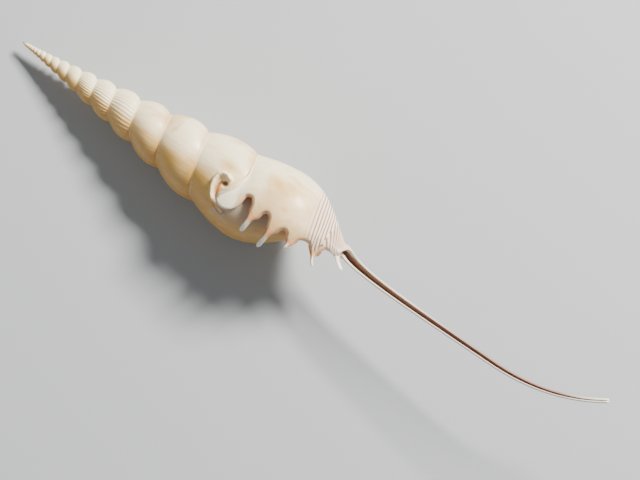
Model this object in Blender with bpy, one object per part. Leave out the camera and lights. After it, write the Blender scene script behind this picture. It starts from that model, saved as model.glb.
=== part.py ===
"""A spindle tibia shell lying on its side: a tall spire, a body whorl with a fingered lip, and a long open canal.

The shell is grown in its own frame first, in millimetres: X runs along the coiling axis from the apex to the end of
the canal, and growth winds round that axis by the right hand rule until the lip's edge, which faces +Z. It is then
rolled and pitched into the pose in which it rests on a flat surface.
"""

import math

import bmesh
import bpy
from mathutils import Matrix, Vector

MM = 0.001

# Growth, in millimetres and turns. Turn 0 is the front of the lip and earlier growth is negative.
COLUMNS = 24
WHORLS = 18
SPIRE_SHARES = (0.0, 0.1, 0.34, 0.62, 0.88, 1.0)
SPIRE_ROWS = len(SPIRE_SHARES) - 1
EXPANSION = 1.25
SUTURE_AT_LIP = 92.8
APEX_AT = 0.3
SPIRE_SLOPE = 0.122
SPIRE_FLARE = 0.0304
# The apex is blunter than the cone's tip by this much, which fades over a length.
APEX_BLUNTING = 0.46
BLUNTING_LENGTH = 6.0
# How far each whorl swells past the line between its sutures, as a share of its height, by distance from the apex.
WHORL_SWELL = ((0, 0.20), (35, 0.172), (56, 0.163), (69, 0.12), (80, 0.11))

# The body whorl's profile: distance along the axis and radius, both as shares of the whorl's own suture distance.
BODY_PROFILE = (
    (1.0, 0.149), (1.03, 0.158), (1.08, 0.173), (1.14, 0.184), (1.2, 0.187), (1.26, 0.173),
    (1.31, 0.148), (1.36, 0.110), (1.41, 0.069), (1.455, 0.038), (1.5, 0.02), (1.6, 0.0),
)
BODY_FROM_TURN = -1.35
BODY_BY_TURN = -0.75
SEAM_BLEND = 2.0

# Close to the lip the suture climbs back towards the apex, and the base is drawn back as well.
LIP_CLIMB = 3.2
LIP_CLIMB_TURNS = 0.08
LIP_DRAW_NEAR = 3.0
LIP_DRAW_FAR = 4.4
LIP_DRAW_TURNS = 0.22
# The part of the last whorl over which the rows spread out to meet the lip's outline.
LIP_SPREAD_TURNS = 0.25
LEAST_ROW_GAP = 0.5
LOBE_ROW_GAP = 0.3
LOBE_BACK = 80.0

# The lip's outline from the suture to the canal, as distance along the axis and distance to the left of it.
LOBE_EDGE = ((89.6, 0.0), (88.5, 1.9), (87.1, 3.1), (86.4, 4.7), (87.9, 6.3), (90.8, 7.0), (93.2, 5.9))
NOTCHES = (
    ((93.8, 2.9), (94.5, -0.4), (97.2, -1.2), (99.1, 1.0)),
    ((102.1, 1.8), (103.9, 0.1), (106.3, 1.3)),
    ((109.8, 2.8), (111.6, 1.4), (113.7, 2.5)),
    ((116.2, 2.0), (118.3, 0.6), (120.7, 0.8)),
    ((123.6, 0.8), (124.8, -0.8), (126.8, -0.5)),
)
# Each finger's root on the outline, then its tip in the shell's frame.
FINGERS = (
    (((99.7, 3.5), (101.5, 4.4)), Vector((99.6, -10.5, 12.6))),
    (((107.3, 4.3), (109.1, 4.6)), Vector((107.0, -11.7, 11.8))),
    (((114.2, 4.6), (115.7, 4.0)), Vector((114.7, -7.4, 12.2))),
    (((121.7, 2.5), (123.4, 2.6)), Vector((124.8, -7.0, 7.4))),
    (((127.9, 0.5), (129.4, -0.1)), Vector((133.2, -2.8, 4.2))),
)
CANAL_MOUTH = ((129.5, -2.2), (130.2, -3.5))
FINGER_BOW = 0.7
FINGER_STAGES = ((0.2, 1.0), (0.42, 0.96), (0.66, 0.94), (0.86, 0.92), (0.96, 0.76), (1.0, 0.36))
LOBE_LIFT = 2.5
LOBE_LIFT_SPAN = (93.0, 99.0)
LIP_WALL = 1.6
RIM_LEAN = 1.2
RIM_LEAN_ROW = 5
LOBE_INSET = 1.0

CANAL_ROWS = (
    132, 134.5, 138.5, 144, 150.5, 157.5, 165, 172.5, 180, 187, 193.5, 199.5, 205, 210.5, 216, 221.5, 226, 229,
)
CANAL_RADIUS = (
    (96, 2.7), (125, 2.5), (131, 2.05), (139, 1.65), (149, 1.45), (163, 1.3), (180, 1.13), (199, 1.0),
    (215, 0.85), (229, 0.78),
)
# Half of the angle that the canal's slit takes out of its tube, in degrees.
SLIT_HALF_ANGLE = ((122, 0), (131, 52), (145, 50), (170, 46), (200, 38), (229, 30))
CANAL_BORE = 0.62
CANAL_AT_AXIS = 100.0
CANAL_OFFSET = 2.6
CANAL_OFFSET_AT = 130.5
CANAL_OFFSET_FADE = 9.0
BEND_FROM = 190.0
BEND_SQUARE = 0.0048
BEND_CUBE = 6.7e-5

# The hollow behind the aperture: how far back its columns lie, in degrees. Its wall has one more than its ceiling.
HOLLOW_ANGLES = (0.0, 8.0, 26.0, 52.0, 78.0, 104.0, 130.0)
HOLLOW_STEPS = len(HOLLOW_ANGLES) - 2
HOLLOW_CORNER = 1.3
HOLLOW_NARROWING = 0.35
GUTTER_TURN = 160.0

# The hooked ridge round the rear canal, as distance along the axis and to the left of it, and the pit inside it.
HOOK = (
    (90.6, 9.3), (88.6, 8.6), (86.4, 7.4), (84.8, 5.6), (83.7, 3.4), (83.2, 1.2), (83.6, -0.6), (84.7, -1.7),
    (86.2, -1.9), (87.2, -1.3),
)
HOOK_HEIGHT = 1.6
HOOK_WIDTH = 1.8
HOOK_REACH = 1.9
HOOK_CUTS = 4
HOOK_SOFTENING = 0.35
HOOK_CLEARANCE = 1.2
PIT_AT = (86.9, 1.2)
PIT_DEPTH = 0.7
PIT_RADIUS = 1.9

# Pose at rest, in degrees.
ROLL = 7.93
PITCH = 6.8

SHELL_COLOUR = (0.87, 0.77, 0.62, 1.0)
SHELL_ROUGHNESS = 0.32


def smooth(share):
    """An S-shaped rise from 0 to 1."""
    share = min(max(share, 0.0), 1.0)
    return share * share * (3.0 - 2.0 * share)


def mix(start, end, share):
    return start + (end - start) * share


def through(points, at_place):
    """The height at one place of a smooth curve through the points, level past its ends."""
    if at_place <= points[0][0]:
        return points[0][1]
    if at_place >= points[-1][0]:
        return points[-1][1]
    i = next(n for n in range(len(points) - 1) if at_place <= points[n + 1][0])
    (x0, y0), (x1, y1) = points[i], points[i + 1]
    before = points[max(i - 1, 0)]
    after = points[min(i + 2, len(points) - 1)]
    slope0 = (y1 - before[1]) / (x1 - before[0])
    slope1 = (after[1] - y0) / (after[0] - x0)
    width = x1 - x0
    t = (at_place - x0) / width
    return (
        y0 * (1 + 2 * t) * (1 - t) ** 2
        + slope0 * width * t * (1 - t) ** 2
        + y1 * t * t * (3 - 2 * t)
        + slope1 * width * t * t * (t - 1)
    )


def lip_outline():
    """The lip's outline from the suture to the canal, row by row, and the row that each finger starts at."""
    outline = list(LOBE_EDGE)
    finger_rows = []
    for notch, (root, _) in zip(NOTCHES, FINGERS):
        outline.extend(notch)
        finger_rows.append(len(outline))
        outline.extend(root)
    outline.extend(CANAL_MOUTH)
    return outline, finger_rows


LIP, FINGER_ROWS = lip_outline()
LIP_ROWS = len(LIP)
LAST_ROW = LIP_ROWS + len(CANAL_ROWS) - 1


def row_shares():
    """Where each lip row lies between the suture and the canal on the part of the whorl before the lip."""
    lobe_rows = len(LOBE_EDGE)
    start = LIP[0][0]
    places = [(LIP[lobe_rows][0] - start) * row / lobe_rows for row in range(lobe_rows)]
    for along, _ in LIP[lobe_rows:]:
        places.append(max(places[-1] + LEAST_ROW_GAP, along - start))
    return [place / places[-1] for place in places]


ROW_SHARES = row_shares()


def helix(turn):
    """Distance from the apex of the even spiral that the sutures follow."""
    return SUTURE_AT_LIP * EXPANSION**turn


def suture(turn):
    return helix(turn) - LIP_CLIMB * max(0.0, 1.0 + min(turn, 0.0) / LIP_CLIMB_TURNS) ** 1.7


def spire_radius(turn, along):
    """Radius of a spire whorl: a slender blunt-ended cone with a swell between its two sutures."""
    low = helix(turn)
    high = helix(turn + 1)
    along = min(max(along, low), high)
    share = (along - low) / (high - low)
    late = smooth((low - 40.0) / 40.0)
    arch = math.sin(math.pi * share ** mix(1.1, 0.95, late)) ** mix(0.8, 0.7, late)
    cone = along * (SPIRE_SLOPE + SPIRE_FLARE * (along / SUTURE_AT_LIP) ** 1.5)
    blunt = APEX_BLUNTING * math.exp(-along / BLUNTING_LENGTH)
    return cone + blunt + through(WHORL_SWELL, low) * (high - low) * arch


def open_radius(turn, along):
    """Radius of a whorl past its sutures, where the spire's form turns into the body whorl's."""
    low = helix(turn)
    drawn = mix(LIP_DRAW_NEAR, LIP_DRAW_FAR, smooth((along - LIP[0][0]) / (LIP[-1][0] - LIP[0][0])))
    place = (along + drawn * smooth(1.0 + turn / LIP_DRAW_TURNS)) / low
    body = low * through(BODY_PROFILE, place)
    inside = min(place, EXPANSION)
    early = spire_radius(turn, inside * low) / (low * through(BODY_PROFILE, inside))
    settled = smooth((turn - BODY_FROM_TURN) / (BODY_BY_TURN - BODY_FROM_TURN))
    return body * mix(early, 1.0, settled)


def radius(turn, along):
    """Radius of the outer surface, met to the whorl before it at the suture and to the canal in front."""
    if turn < BODY_FROM_TURN - 0.5:
        return spire_radius(turn, along)
    start = suture(turn)
    gap = radius(turn - 1, start) - open_radius(turn, start)
    whorl = open_radius(turn, along) + gap * math.exp(-max(along - start, 0.0) / SEAM_BLEND)
    if along < CANAL_RADIUS[0][0]:
        return whorl
    return (whorl**6 + through(CANAL_RADIUS, along) ** 6) ** (1 / 6)


def canal_centre(along):
    """Sideways place of the canal's middle: off the axis where it leaves the body, and curved at its end."""
    if along < CANAL_OFFSET_AT:
        aside = CANAL_OFFSET * smooth((along - CANAL_AT_AXIS) / (CANAL_OFFSET_AT - CANAL_AT_AXIS))
    else:
        aside = CANAL_OFFSET * math.exp(-(along - CANAL_OFFSET_AT) / CANAL_OFFSET_FADE)
    past = max(along - BEND_FROM, 0.0)
    return aside + BEND_SQUARE * past**2 + BEND_CUBE * past**3


def at(along, angle, distance):
    """The point at an angle round the middle line of the shell and the canal, square to that line."""
    past = max(along - BEND_FROM, 0.0)
    slope = 2 * BEND_SQUARE * past + 3 * BEND_CUBE * past**2
    across = Vector((-slope, 1.0, 0.0)).normalized()
    middle = Vector((along, canal_centre(along), 0.0))
    return middle - across * (distance * math.sin(angle)) + Vector((0, 0, distance * math.cos(angle)))


def slit_half(along):
    return math.radians(through(SLIT_HALF_ANGLE, along))


def angle_aside(along, aside, distance):
    """The angle round the middle line at which a point lies this far to the left of the axis."""
    return math.asin(min(max((aside + canal_centre(along)) / distance, -0.9), 0.9))


def lip_angle(row):
    """The angle at which a row meets the lip's edge."""
    if row >= LIP_ROWS:
        return -slit_half(CANAL_ROWS[row - LIP_ROWS])
    along, aside = LIP[row]
    return angle_aside(along, aside, radius(0, along))


LIP_ANGLES = [lip_angle(row) for row in range(LAST_ROW + 1)]


def gutter_share(along):
    """0 in the aperture, where the hollow is a wide chamber, and 1 in the canal, where it is a gutter."""
    return smooth((along - 123.0) / 11.0)


def lip_spread(turn):
    """How far the rows have spread out to meet the lip's outline, from 0 to 1."""
    return max(0.0, 1.0 + turn / LIP_SPREAD_TURNS) ** 1.7


def lobe_limit(turn):
    """How near to the apex the body whorl reaches: its suture, and past the lip's front the lobe's rear edge."""
    return suture(turn) - LOBE_BACK * max(turn, 0.0)


def lobe_lift(along):
    """How far the lip's rear lobe stands off the whorl before it."""
    return LOBE_LIFT * (1 - smooth((along - LOBE_LIFT_SPAN[0]) / (LOBE_LIFT_SPAN[1] - LOBE_LIFT_SPAN[0])))


def row_along(turn, row):
    """Distance along the axis of a row of the body whorl, which runs from its suture to the end of the canal."""
    if row >= LIP_ROWS:
        return CANAL_ROWS[row - LIP_ROWS]
    start = suture(turn)
    end = LIP[-1][0]
    even = mix(start, end, ROW_SHARES[row])
    seam = helix(turn + 1) - LIP_CLIMB
    if row <= SPIRE_ROWS:
        met = mix(start, seam, SPIRE_SHARES[row])
    else:
        seam_share = ROW_SHARES[SPIRE_ROWS]
        met = mix(seam, end, (ROW_SHARES[row] - seam_share) / (1 - seam_share))
    along = mix(met, even, smooth((turn + 1) / 0.25))
    if row == 0 or turn == 0:
        return LIP[row][0] if turn == 0 else along
    along = mix(along, LIP[row][0], lip_spread(turn))
    if row < len(LOBE_EDGE):
        along = max(along, lobe_limit(turn + LIP_ANGLES[row] * lip_spread(turn) / math.tau) + LOBE_ROW_GAP * row)
    return along


def spire_point(column, row):
    turn = column / COLUMNS - WHORLS
    along = mix(suture(turn), suture(turn + 1), SPIRE_SHARES[row])
    return at(along, math.tau * turn, radius(turn, along))


def body_point(column, row):
    turn = column / COLUMNS - 1
    along = row_along(turn, row)
    half = slit_half(along)
    stretch = mix(lip_spread(turn), turn + 1, gutter_share(along))
    angle = half + (math.tau - half) * (turn + 1) + LIP_ANGLES[row] * stretch
    if row >= LIP_ROWS:
        return at(along, angle, radius(turn, along))
    distance = radius(min(turn + LIP_ANGLES[row] * lip_spread(turn) / math.tau, 0.0), along)
    if row and turn > -LIP_SPREAD_TURNS:
        distance = max(distance, radius(turn - 1, along) + lobe_lift(along) * lip_spread(turn) ** 2)
    return at(along, angle, distance)


def hollow_turn(step):
    return -HOLLOW_ANGLES[step] / 360


def corner(step):
    """Distance along the axis of the hollow's rear corner, inside the wall at the suture."""
    return suture(hollow_turn(step)) + (HOLLOW_CORNER if step else 0.0)


def under_point(step, row):
    """The surface that runs on under the lip: the wall of the whorl before, the columella, and the gutter."""
    turn = hollow_turn(step)
    if step == 0:
        return body_point(0, row)
    if row >= LIP_ROWS:
        along = CANAL_ROWS[row - LIP_ROWS]
    else:
        share = (row_along(-1, row) - suture(0)) / (LIP[-1][0] - suture(0))
        along = mix(corner(step), LIP[-1][0], share)
    wall = at(along, math.tau * turn, radius(turn - 1, along))
    half = slit_half(along)
    inner = through(CANAL_RADIUS, along) * CANAL_BORE
    angle = mix(half, math.radians(GUTTER_TURN), (step - 1) / HOLLOW_STEPS)
    return wall.lerp(at(along, angle, inner), gutter_share(along))


def rim_point(row):
    """The inner edge of the lip's rim, set back on the lobe and leaning out past the outer edge on the notches."""
    before, here, after = LIP[row - 1], LIP[row], LIP[min(row + 1, LIP_ROWS - 1)]
    lean = mix(-LOBE_INSET, RIM_LEAN, smooth((row - RIM_LEAN_ROW) / 2)) * (1 - gutter_share(here[0]))
    out = Vector((before[1] - after[1], after[0] - before[0])).normalized() * lean
    outer = radius(0, here[0])
    floor = radius(-1, here[0])
    outer = max(outer, floor + lobe_lift(here[0]))
    distance = outer - min(LIP_WALL, 0.5 * (outer - floor))
    along = here[0] + out.x
    return at(along, angle_aside(along, here[1] + out.y, distance), distance)


def lip_inner_point(step, row):
    """The inner face of the lip, from its edge back into the hollow."""
    turn = hollow_turn(step)
    if row >= LIP_ROWS:
        along = CANAL_ROWS[row - LIP_ROWS]
    else:
        deep_share = 0.0
        if row > SPIRE_ROWS:
            deep_share = (row_along(-1, row) - suture(0)) / (LIP[-1][0] - suture(0))
        share = mix(ROW_SHARES[row], deep_share, step / HOLLOW_STEPS)
        along = mix(corner(step), LIP[-1][0], share)
    angle = math.tau * turn
    if step == 1 and 0 < row < LIP_ROWS:
        along = mix(row_along(turn, row), along, HOLLOW_NARROWING)
        angle += lip_angle(row) * lip_spread(turn)
    floor = radius(turn - 1, along)
    outer = radius(turn, along)
    if 0 < row < LIP_ROWS:
        outer = max(outer, floor + lobe_lift(along) * lip_spread(turn) ** 2)
    if row == 0 or (row <= SPIRE_ROWS and step == HOLLOW_STEPS):
        distance = floor
    else:
        distance = outer - min(LIP_WALL, 0.5 * (outer - floor))
    chamber = at(along, angle, distance)
    if step == 0 and 0 < row < LIP_ROWS:
        chamber = rim_point(row)
    half = slit_half(along)
    inner = through(CANAL_RADIUS, along) * CANAL_BORE
    angle = -mix(half, math.radians(GUTTER_TURN), step / HOLLOW_STEPS)
    return chamber.lerp(at(along, angle, inner), gutter_share(along))


def patch(mesh, columns, rows, place, first_row=0):
    """Adds a grid of faces whose points the place function sets, and returns the faces by column and row."""
    made = bmesh.ops.create_grid(mesh, x_segments=columns, y_segments=rows, size=0.5)["verts"]
    spot = {v: (round((v.co.x + 0.5) * columns), round((v.co.y + 0.5) * rows)) for v in made}
    faces = {}
    for face in {f for v in made for f in v.link_faces}:
        faces[min(spot[v][0] for v in face.verts), min(spot[v][1] for v in face.verts) + first_row] = face
    for v, (column, row) in spot.items():
        v.co = place(column, row + first_row)
    return faces


def lip_edge_point(column, row):
    """The edge of the lip, between its outer and inner faces."""
    return body_point(COLUMNS, row) if column == 0 else lip_inner_point(0, row)


def hollow_end_point(column, row):
    """The deep end of the hollow, between the lip's inner face and the surface under it."""
    if column == 0:
        return lip_inner_point(HOLLOW_STEPS, row)
    return under_point(HOLLOW_STEPS + 1, row)


def draw_out(mesh, face, tip):
    """Draws a face out into a finger along a bowed curve from its middle to the tip."""
    root = face.calc_center_median()
    facing = face.normal.copy()
    middle = (root + tip) / 2
    outward = Vector((0, middle.y, middle.z)).normalized()
    pull = middle + outward * (2 * FINGER_BOW)
    if facing.dot(tip - root) < 0:
        facing.negate()
    offsets = None
    for share, size in FINGER_STAGES:
        made = bmesh.ops.extrude_face_region(mesh, geom=[face])["geom"]
        new_face = next(g for g in made if isinstance(g, bmesh.types.BMFace))
        if face.is_valid:
            bmesh.ops.delete(mesh, geom=[face], context="FACES_ONLY")
        if offsets is None:
            offsets = [v.co - root for v in new_face.verts]
        centre = root * (1 - share) ** 2 + pull * (2 * share * (1 - share)) + tip * share**2
        heading = ((pull - root) * (1 - share) + (tip - pull) * share).normalized()
        turn = facing.rotation_difference(heading)
        for v, offset in zip(new_face.verts, offsets):
            v.co = centre + turn @ (offset * size)
        face = new_face


def line_distance(line, place):
    """How far a place in the plane of the lip's outline is from a line of straight stretches."""
    nearest = math.inf
    for start, end in zip(line, line[1:]):
        start, end = Vector(start), Vector(end)
        span = end - start
        share = min(max((place - start).dot(span) / span.length_squared, 0.0), 1.0)
        nearest = min(nearest, (place - start - span * share).length)
    return nearest


def hook_place(co):
    return Vector((co.x, -co.y))


def raise_hook(mesh, whorl_faces):
    """Refines the front of the whorl behind the lip and raises the hooked ridge of the rear canal on it."""
    near = []
    for face in whorl_faces:
        spots = [face.calc_center_median()] + [v.co for v in face.verts]
        spots += [(edge.verts[0].co + edge.verts[1].co) / 2 for edge in face.edges]
        if spots[0].z > 0 and min(line_distance(HOOK, hook_place(spot)) for spot in spots) < HOOK_REACH:
            near.append(face)
    edges = {edge for face in near for edge in face.edges}
    ground = {v for face in near for v in face.verts}
    made = bmesh.ops.subdivide_edges(mesh, edges=list(edges), cuts=HOOK_CUTS, use_grid_fill=True)
    ground.update(g for g in made["geom_inner"] + made["geom_split"] if isinstance(g, bmesh.types.BMVert))
    pit = Vector(PIT_AT)
    for v in ground:
        if not v.is_valid:
            continue
        place = hook_place(v.co)
        clear = smooth(line_distance(LOBE_EDGE, place) / HOOK_CLEARANCE)
        ridge = HOOK_HEIGHT * clear * (1 - smooth(line_distance(HOOK, place) / HOOK_WIDTH))
        sunk = PIT_DEPTH * (1 - smooth((place - pit).length / PIT_RADIUS))
        outward = Vector((0, v.co.y, v.co.z)).normalized()
        v.co += outward * (ridge - sunk)
    raised = [v for v in ground if v.is_valid and line_distance(HOOK, hook_place(v.co)) < HOOK_WIDTH]
    bmesh.ops.smooth_vert(
        mesh, verts=raised, factor=HOOK_SOFTENING, use_axis_x=True, use_axis_y=True, use_axis_z=True,
    )


def grow_shell():
    """The whole shell as one closed mesh, in millimetres in its own frame."""
    mesh = bmesh.new()
    row_tag = mesh.faces.layers.int.new("lip_row")
    hook_tag = mesh.faces.layers.int.new("hook_ground")
    whorls = patch(mesh, COLUMNS * (WHORLS - 1), SPIRE_ROWS, spire_point)
    body = patch(mesh, COLUMNS, LAST_ROW, body_point)
    patch(mesh, HOLLOW_STEPS, LAST_ROW, lip_inner_point)
    patch(mesh, HOLLOW_STEPS + 1, LAST_ROW - SPIRE_ROWS, under_point, SPIRE_ROWS)
    patch(mesh, 1, LAST_ROW - SPIRE_ROWS, hollow_end_point, SPIRE_ROWS)
    for (_, row), face in patch(mesh, 1, LAST_ROW, lip_edge_point).items():
        face[row_tag] = row + 1
    for (column, row), face in whorls.items():
        face[hook_tag] = column >= COLUMNS * (WHORLS - 1) - 3 and row < SPIRE_ROWS - 1
    for (column, row), face in body.items():
        face[hook_tag] = column < 4 and row < SPIRE_ROWS + 4
    bmesh.ops.remove_doubles(mesh, verts=mesh.verts[:], dist=0.002)
    bmesh.ops.dissolve_degenerate(mesh, edges=mesh.edges[:], dist=0.0005)
    filled = bmesh.ops.holes_fill(mesh, edges=[e for e in mesh.edges if e.is_boundary], sides=0)["faces"]
    apex_cap = min(filled, key=lambda f: f.calc_center_median().x)
    apex = bmesh.ops.poke(mesh, faces=[apex_cap])["verts"][0]
    apex.co = Vector((APEX_AT, 0.0, 0.0))
    bmesh.ops.recalc_face_normals(mesh, faces=mesh.faces[:])
    for row, (_, tip) in zip(FINGER_ROWS, FINGERS):
        edge_face = next(f for f in mesh.faces if f[row_tag] == row + 1)
        draw_out(mesh, edge_face, tip)
    raise_hook(mesh, [f for f in mesh.faces if f[hook_tag]])
    bmesh.ops.triangulate(mesh, faces=[f for f in mesh.faces if len(f.verts) > 4])
    bmesh.ops.recalc_face_normals(mesh, faces=mesh.faces[:])
    return mesh


def lay_down(mesh):
    """Rolls and pitches the shell into its resting pose, stands it on Z 0 and centres it, in metres."""
    pose = Matrix.Rotation(math.radians(-PITCH), 4, "Y") @ Matrix.Rotation(math.radians(ROLL), 4, "X")
    bmesh.ops.transform(mesh, matrix=Matrix.Scale(MM, 4) @ pose, verts=mesh.verts[:])
    lows = [min(v.co[axis] for v in mesh.verts) for axis in range(3)]
    highs = [max(v.co[axis] for v in mesh.verts) for axis in range(3)]
    middle = Vector(((lows[0] + highs[0]) / 2, (lows[1] + highs[1]) / 2, lows[2]))
    bmesh.ops.translate(mesh, vec=-middle, verts=mesh.verts[:])


def shell_material():
    material = bpy.data.materials.new("shell")
    material.use_nodes = True
    shader = material.node_tree.nodes["Principled BSDF"]
    shader.inputs["Base Color"].default_value = SHELL_COLOUR
    shader.inputs["Roughness"].default_value = SHELL_ROUGHNESS
    shader.inputs["Metallic"].default_value = 0.0
    return material


def main():
    for thing in list(bpy.data.objects):
        bpy.data.objects.remove(thing)
    mesh = grow_shell()
    lay_down(mesh)
    data = bpy.data.meshes.new("shell")
    mesh.to_mesh(data)
    mesh.free()
    data.shade_smooth()
    data.materials.append(shell_material())
    bpy.context.scene.collection.objects.link(bpy.data.objects.new("shell", data))


main()
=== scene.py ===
"""The looks of a spindle tibia shell: ribbed spire, glossy whorl, fingered lip, hooked ridge and open canal.

The shell is grown in its own frame, in millimetres: X runs along the coiling axis from the apex to the end of
the canal, and growth winds round that axis by the right hand rule until the lip's edge, which faces +Z. It is
then rolled and pitched into the pose in which it rests, and scaled to metres.
"""

import logging
import math
from collections.abc import Callable, Iterable
from dataclasses import dataclass, field
from enum import Enum, IntEnum
from typing import Any, NamedTuple

import bmesh
import bpy
from mathutils import Matrix, Vector, noise


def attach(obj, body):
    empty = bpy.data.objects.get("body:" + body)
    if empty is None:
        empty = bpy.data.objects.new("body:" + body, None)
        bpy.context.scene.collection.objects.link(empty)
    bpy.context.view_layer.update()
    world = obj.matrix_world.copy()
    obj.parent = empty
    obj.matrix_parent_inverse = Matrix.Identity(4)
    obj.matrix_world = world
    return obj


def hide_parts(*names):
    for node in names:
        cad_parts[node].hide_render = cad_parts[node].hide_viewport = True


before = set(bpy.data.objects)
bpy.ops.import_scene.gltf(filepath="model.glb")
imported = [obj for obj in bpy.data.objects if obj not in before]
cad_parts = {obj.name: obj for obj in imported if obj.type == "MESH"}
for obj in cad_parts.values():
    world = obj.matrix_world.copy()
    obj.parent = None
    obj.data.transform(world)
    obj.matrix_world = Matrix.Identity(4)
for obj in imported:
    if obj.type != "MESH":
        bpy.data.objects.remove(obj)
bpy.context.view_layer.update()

log = logging.getLogger("tibia_shell")

MM = 0.001
NODE = "shell"
ROW_SLACK = 1e-5

Place = tuple[float, float]
Span = tuple[float, float]
Profile = tuple[Place, ...]
Colour = tuple[float, float, float]
Spot = tuple[float, float]


def smooth(share: float) -> float:
    """An S-shaped rise from 0 to 1."""
    share = min(max(share, 0.0), 1.0)
    return share * share * (3.0 - 2.0 * share)


def mix(start: float, end: float, share: float) -> float:
    """The value a share of the way from start to end."""
    return start + (end - start) * share


def ramp(place: float, span: Span) -> float:
    """A straight rise from 0 at a span's first end to 1 at its other end; the span may run backwards."""
    return min(max((place - span[0]) / (span[1] - span[0]), 0.0), 1.0)


def rise(place: float, span: Span) -> float:
    """A smooth rise from 0 at a span's first end to 1 at its other end; the span may run backwards."""
    return smooth(ramp(place, span))


def hump(share: float) -> float:
    """A rise to 1 halfway and back to 0."""
    return 4 * share * (1 - share)


def through(points: Iterable[Place], place: float) -> float:
    """The height at one place of a smooth curve through points, level past its ends.

    Args:
        points: Places and heights, in rising order of place.
        place: Where to read the curve.

    Returns:
        The height there.
    """
    points = tuple(points)
    if place <= points[0][0]:
        return points[0][1]
    if place >= points[-1][0]:
        return points[-1][1]
    i = next(n for n in range(len(points) - 1) if place <= points[n + 1][0])
    (x0, y0), (x1, y1) = points[i], points[i + 1]
    before = points[max(i - 1, 0)]
    after = points[min(i + 2, len(points) - 1)]
    slope0 = (y1 - before[1]) / (x1 - before[0])
    slope1 = (after[1] - y0) / (after[0] - x0)
    width = x1 - x0
    t = (place - x0) / width
    return (
        y0 * (1 + 2 * t) * (1 - t) ** 2
        + slope0 * width * t * (1 - t) ** 2
        + y1 * t * t * (3 - 2 * t)
        + slope1 * width * t * t * (t - 1)
    )


def line_distance(line: Profile, place: Vector) -> float:
    """How far a place in a plane is from a line of straight stretches.

    Args:
        line: The line's points.
        place: The place, in the same plane.

    Returns:
        The least distance.
    """
    nearest = math.inf
    for start, end in zip(line, line[1:]):
        start, end = Vector(start), Vector(end)
        span = end - start
        share = min(max((place - start).dot(span) / span.length_squared, 0.0), 1.0)
        nearest = min(nearest, (place - start - span * share).length)
    return nearest


class Region(IntEnum):
    """The stretches of surface that the shell is put together from."""

    SPIRE = 0
    BODY = 1
    LIP_EDGE = 2
    LIP_INSIDE = 3
    WALL = 4
    HOLLOW_END = 5
    FINGER = 6


@dataclass(frozen=True)
class SpireForm:
    """The even spiral and the whorls of the spire.

    Turn 0 is the front of the lip and earlier growth is negative. Shares say where the rows lie across a whorl,
    and swell says how far a whorl stands past the line between its sutures, as a share of its height.
    """

    columns: int = 180
    whorls: int = 18
    shares: tuple[float, ...] = (0.0, 0.1, 0.34, 0.62, 0.88, 1.0)
    expansion: float = 1.25
    suture_at_lip: float = 92.8
    apex_at: float = 0.3
    slope: float = 0.122
    flare: float = 0.0304
    flare_power: float = 1.5
    blunting: float = 0.46
    blunting_length: float = 6.0
    swell: Profile = ((0, 0.20), (35, 0.172), (56, 0.163), (69, 0.12), (80, 0.11))
    late_whorls: Span = (40.0, 80.0)
    arch_lean: Span = (1.1, 0.95)
    arch_fullness: Span = (0.8, 0.7)
    lip_climb: float = 3.2
    lip_climb_turns: float = 0.08
    climb_power: float = 1.7

    @property
    def rows(self) -> int:
        """The number of coarse rows across a whorl."""
        return len(self.shares) - 1

    def helix(self, turn: float) -> float:
        """Distance from the apex of the even spiral that the sutures follow."""
        return self.suture_at_lip * self.expansion**turn

    def suture(self, turn: float) -> float:
        """The suture, which climbs back towards the apex close to the lip."""
        climb = max(0.0, 1.0 + min(turn, 0.0) / self.lip_climb_turns) ** self.climb_power
        return self.helix(turn) - self.lip_climb * climb

    def radius(self, turn: float, along: float) -> float:
        """Radius of a spire whorl: a slender blunt-ended cone with a swell between its two sutures.

        Args:
            turn: Growth in turns.
            along: Distance from the apex.

        Returns:
            The radius there.
        """
        low = self.helix(turn)
        high = self.helix(turn + 1)
        along = min(max(along, low), high)
        share = (along - low) / (high - low)
        late = rise(low, self.late_whorls)
        arch = math.sin(math.pi * share ** mix(*self.arch_lean, late)) ** mix(*self.arch_fullness, late)
        cone = along * (self.slope + self.flare * (along / self.suture_at_lip) ** self.flare_power)
        blunt = self.blunting * math.exp(-along / self.blunting_length)
        return cone + blunt + through(self.swell, low) * (high - low) * arch


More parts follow.
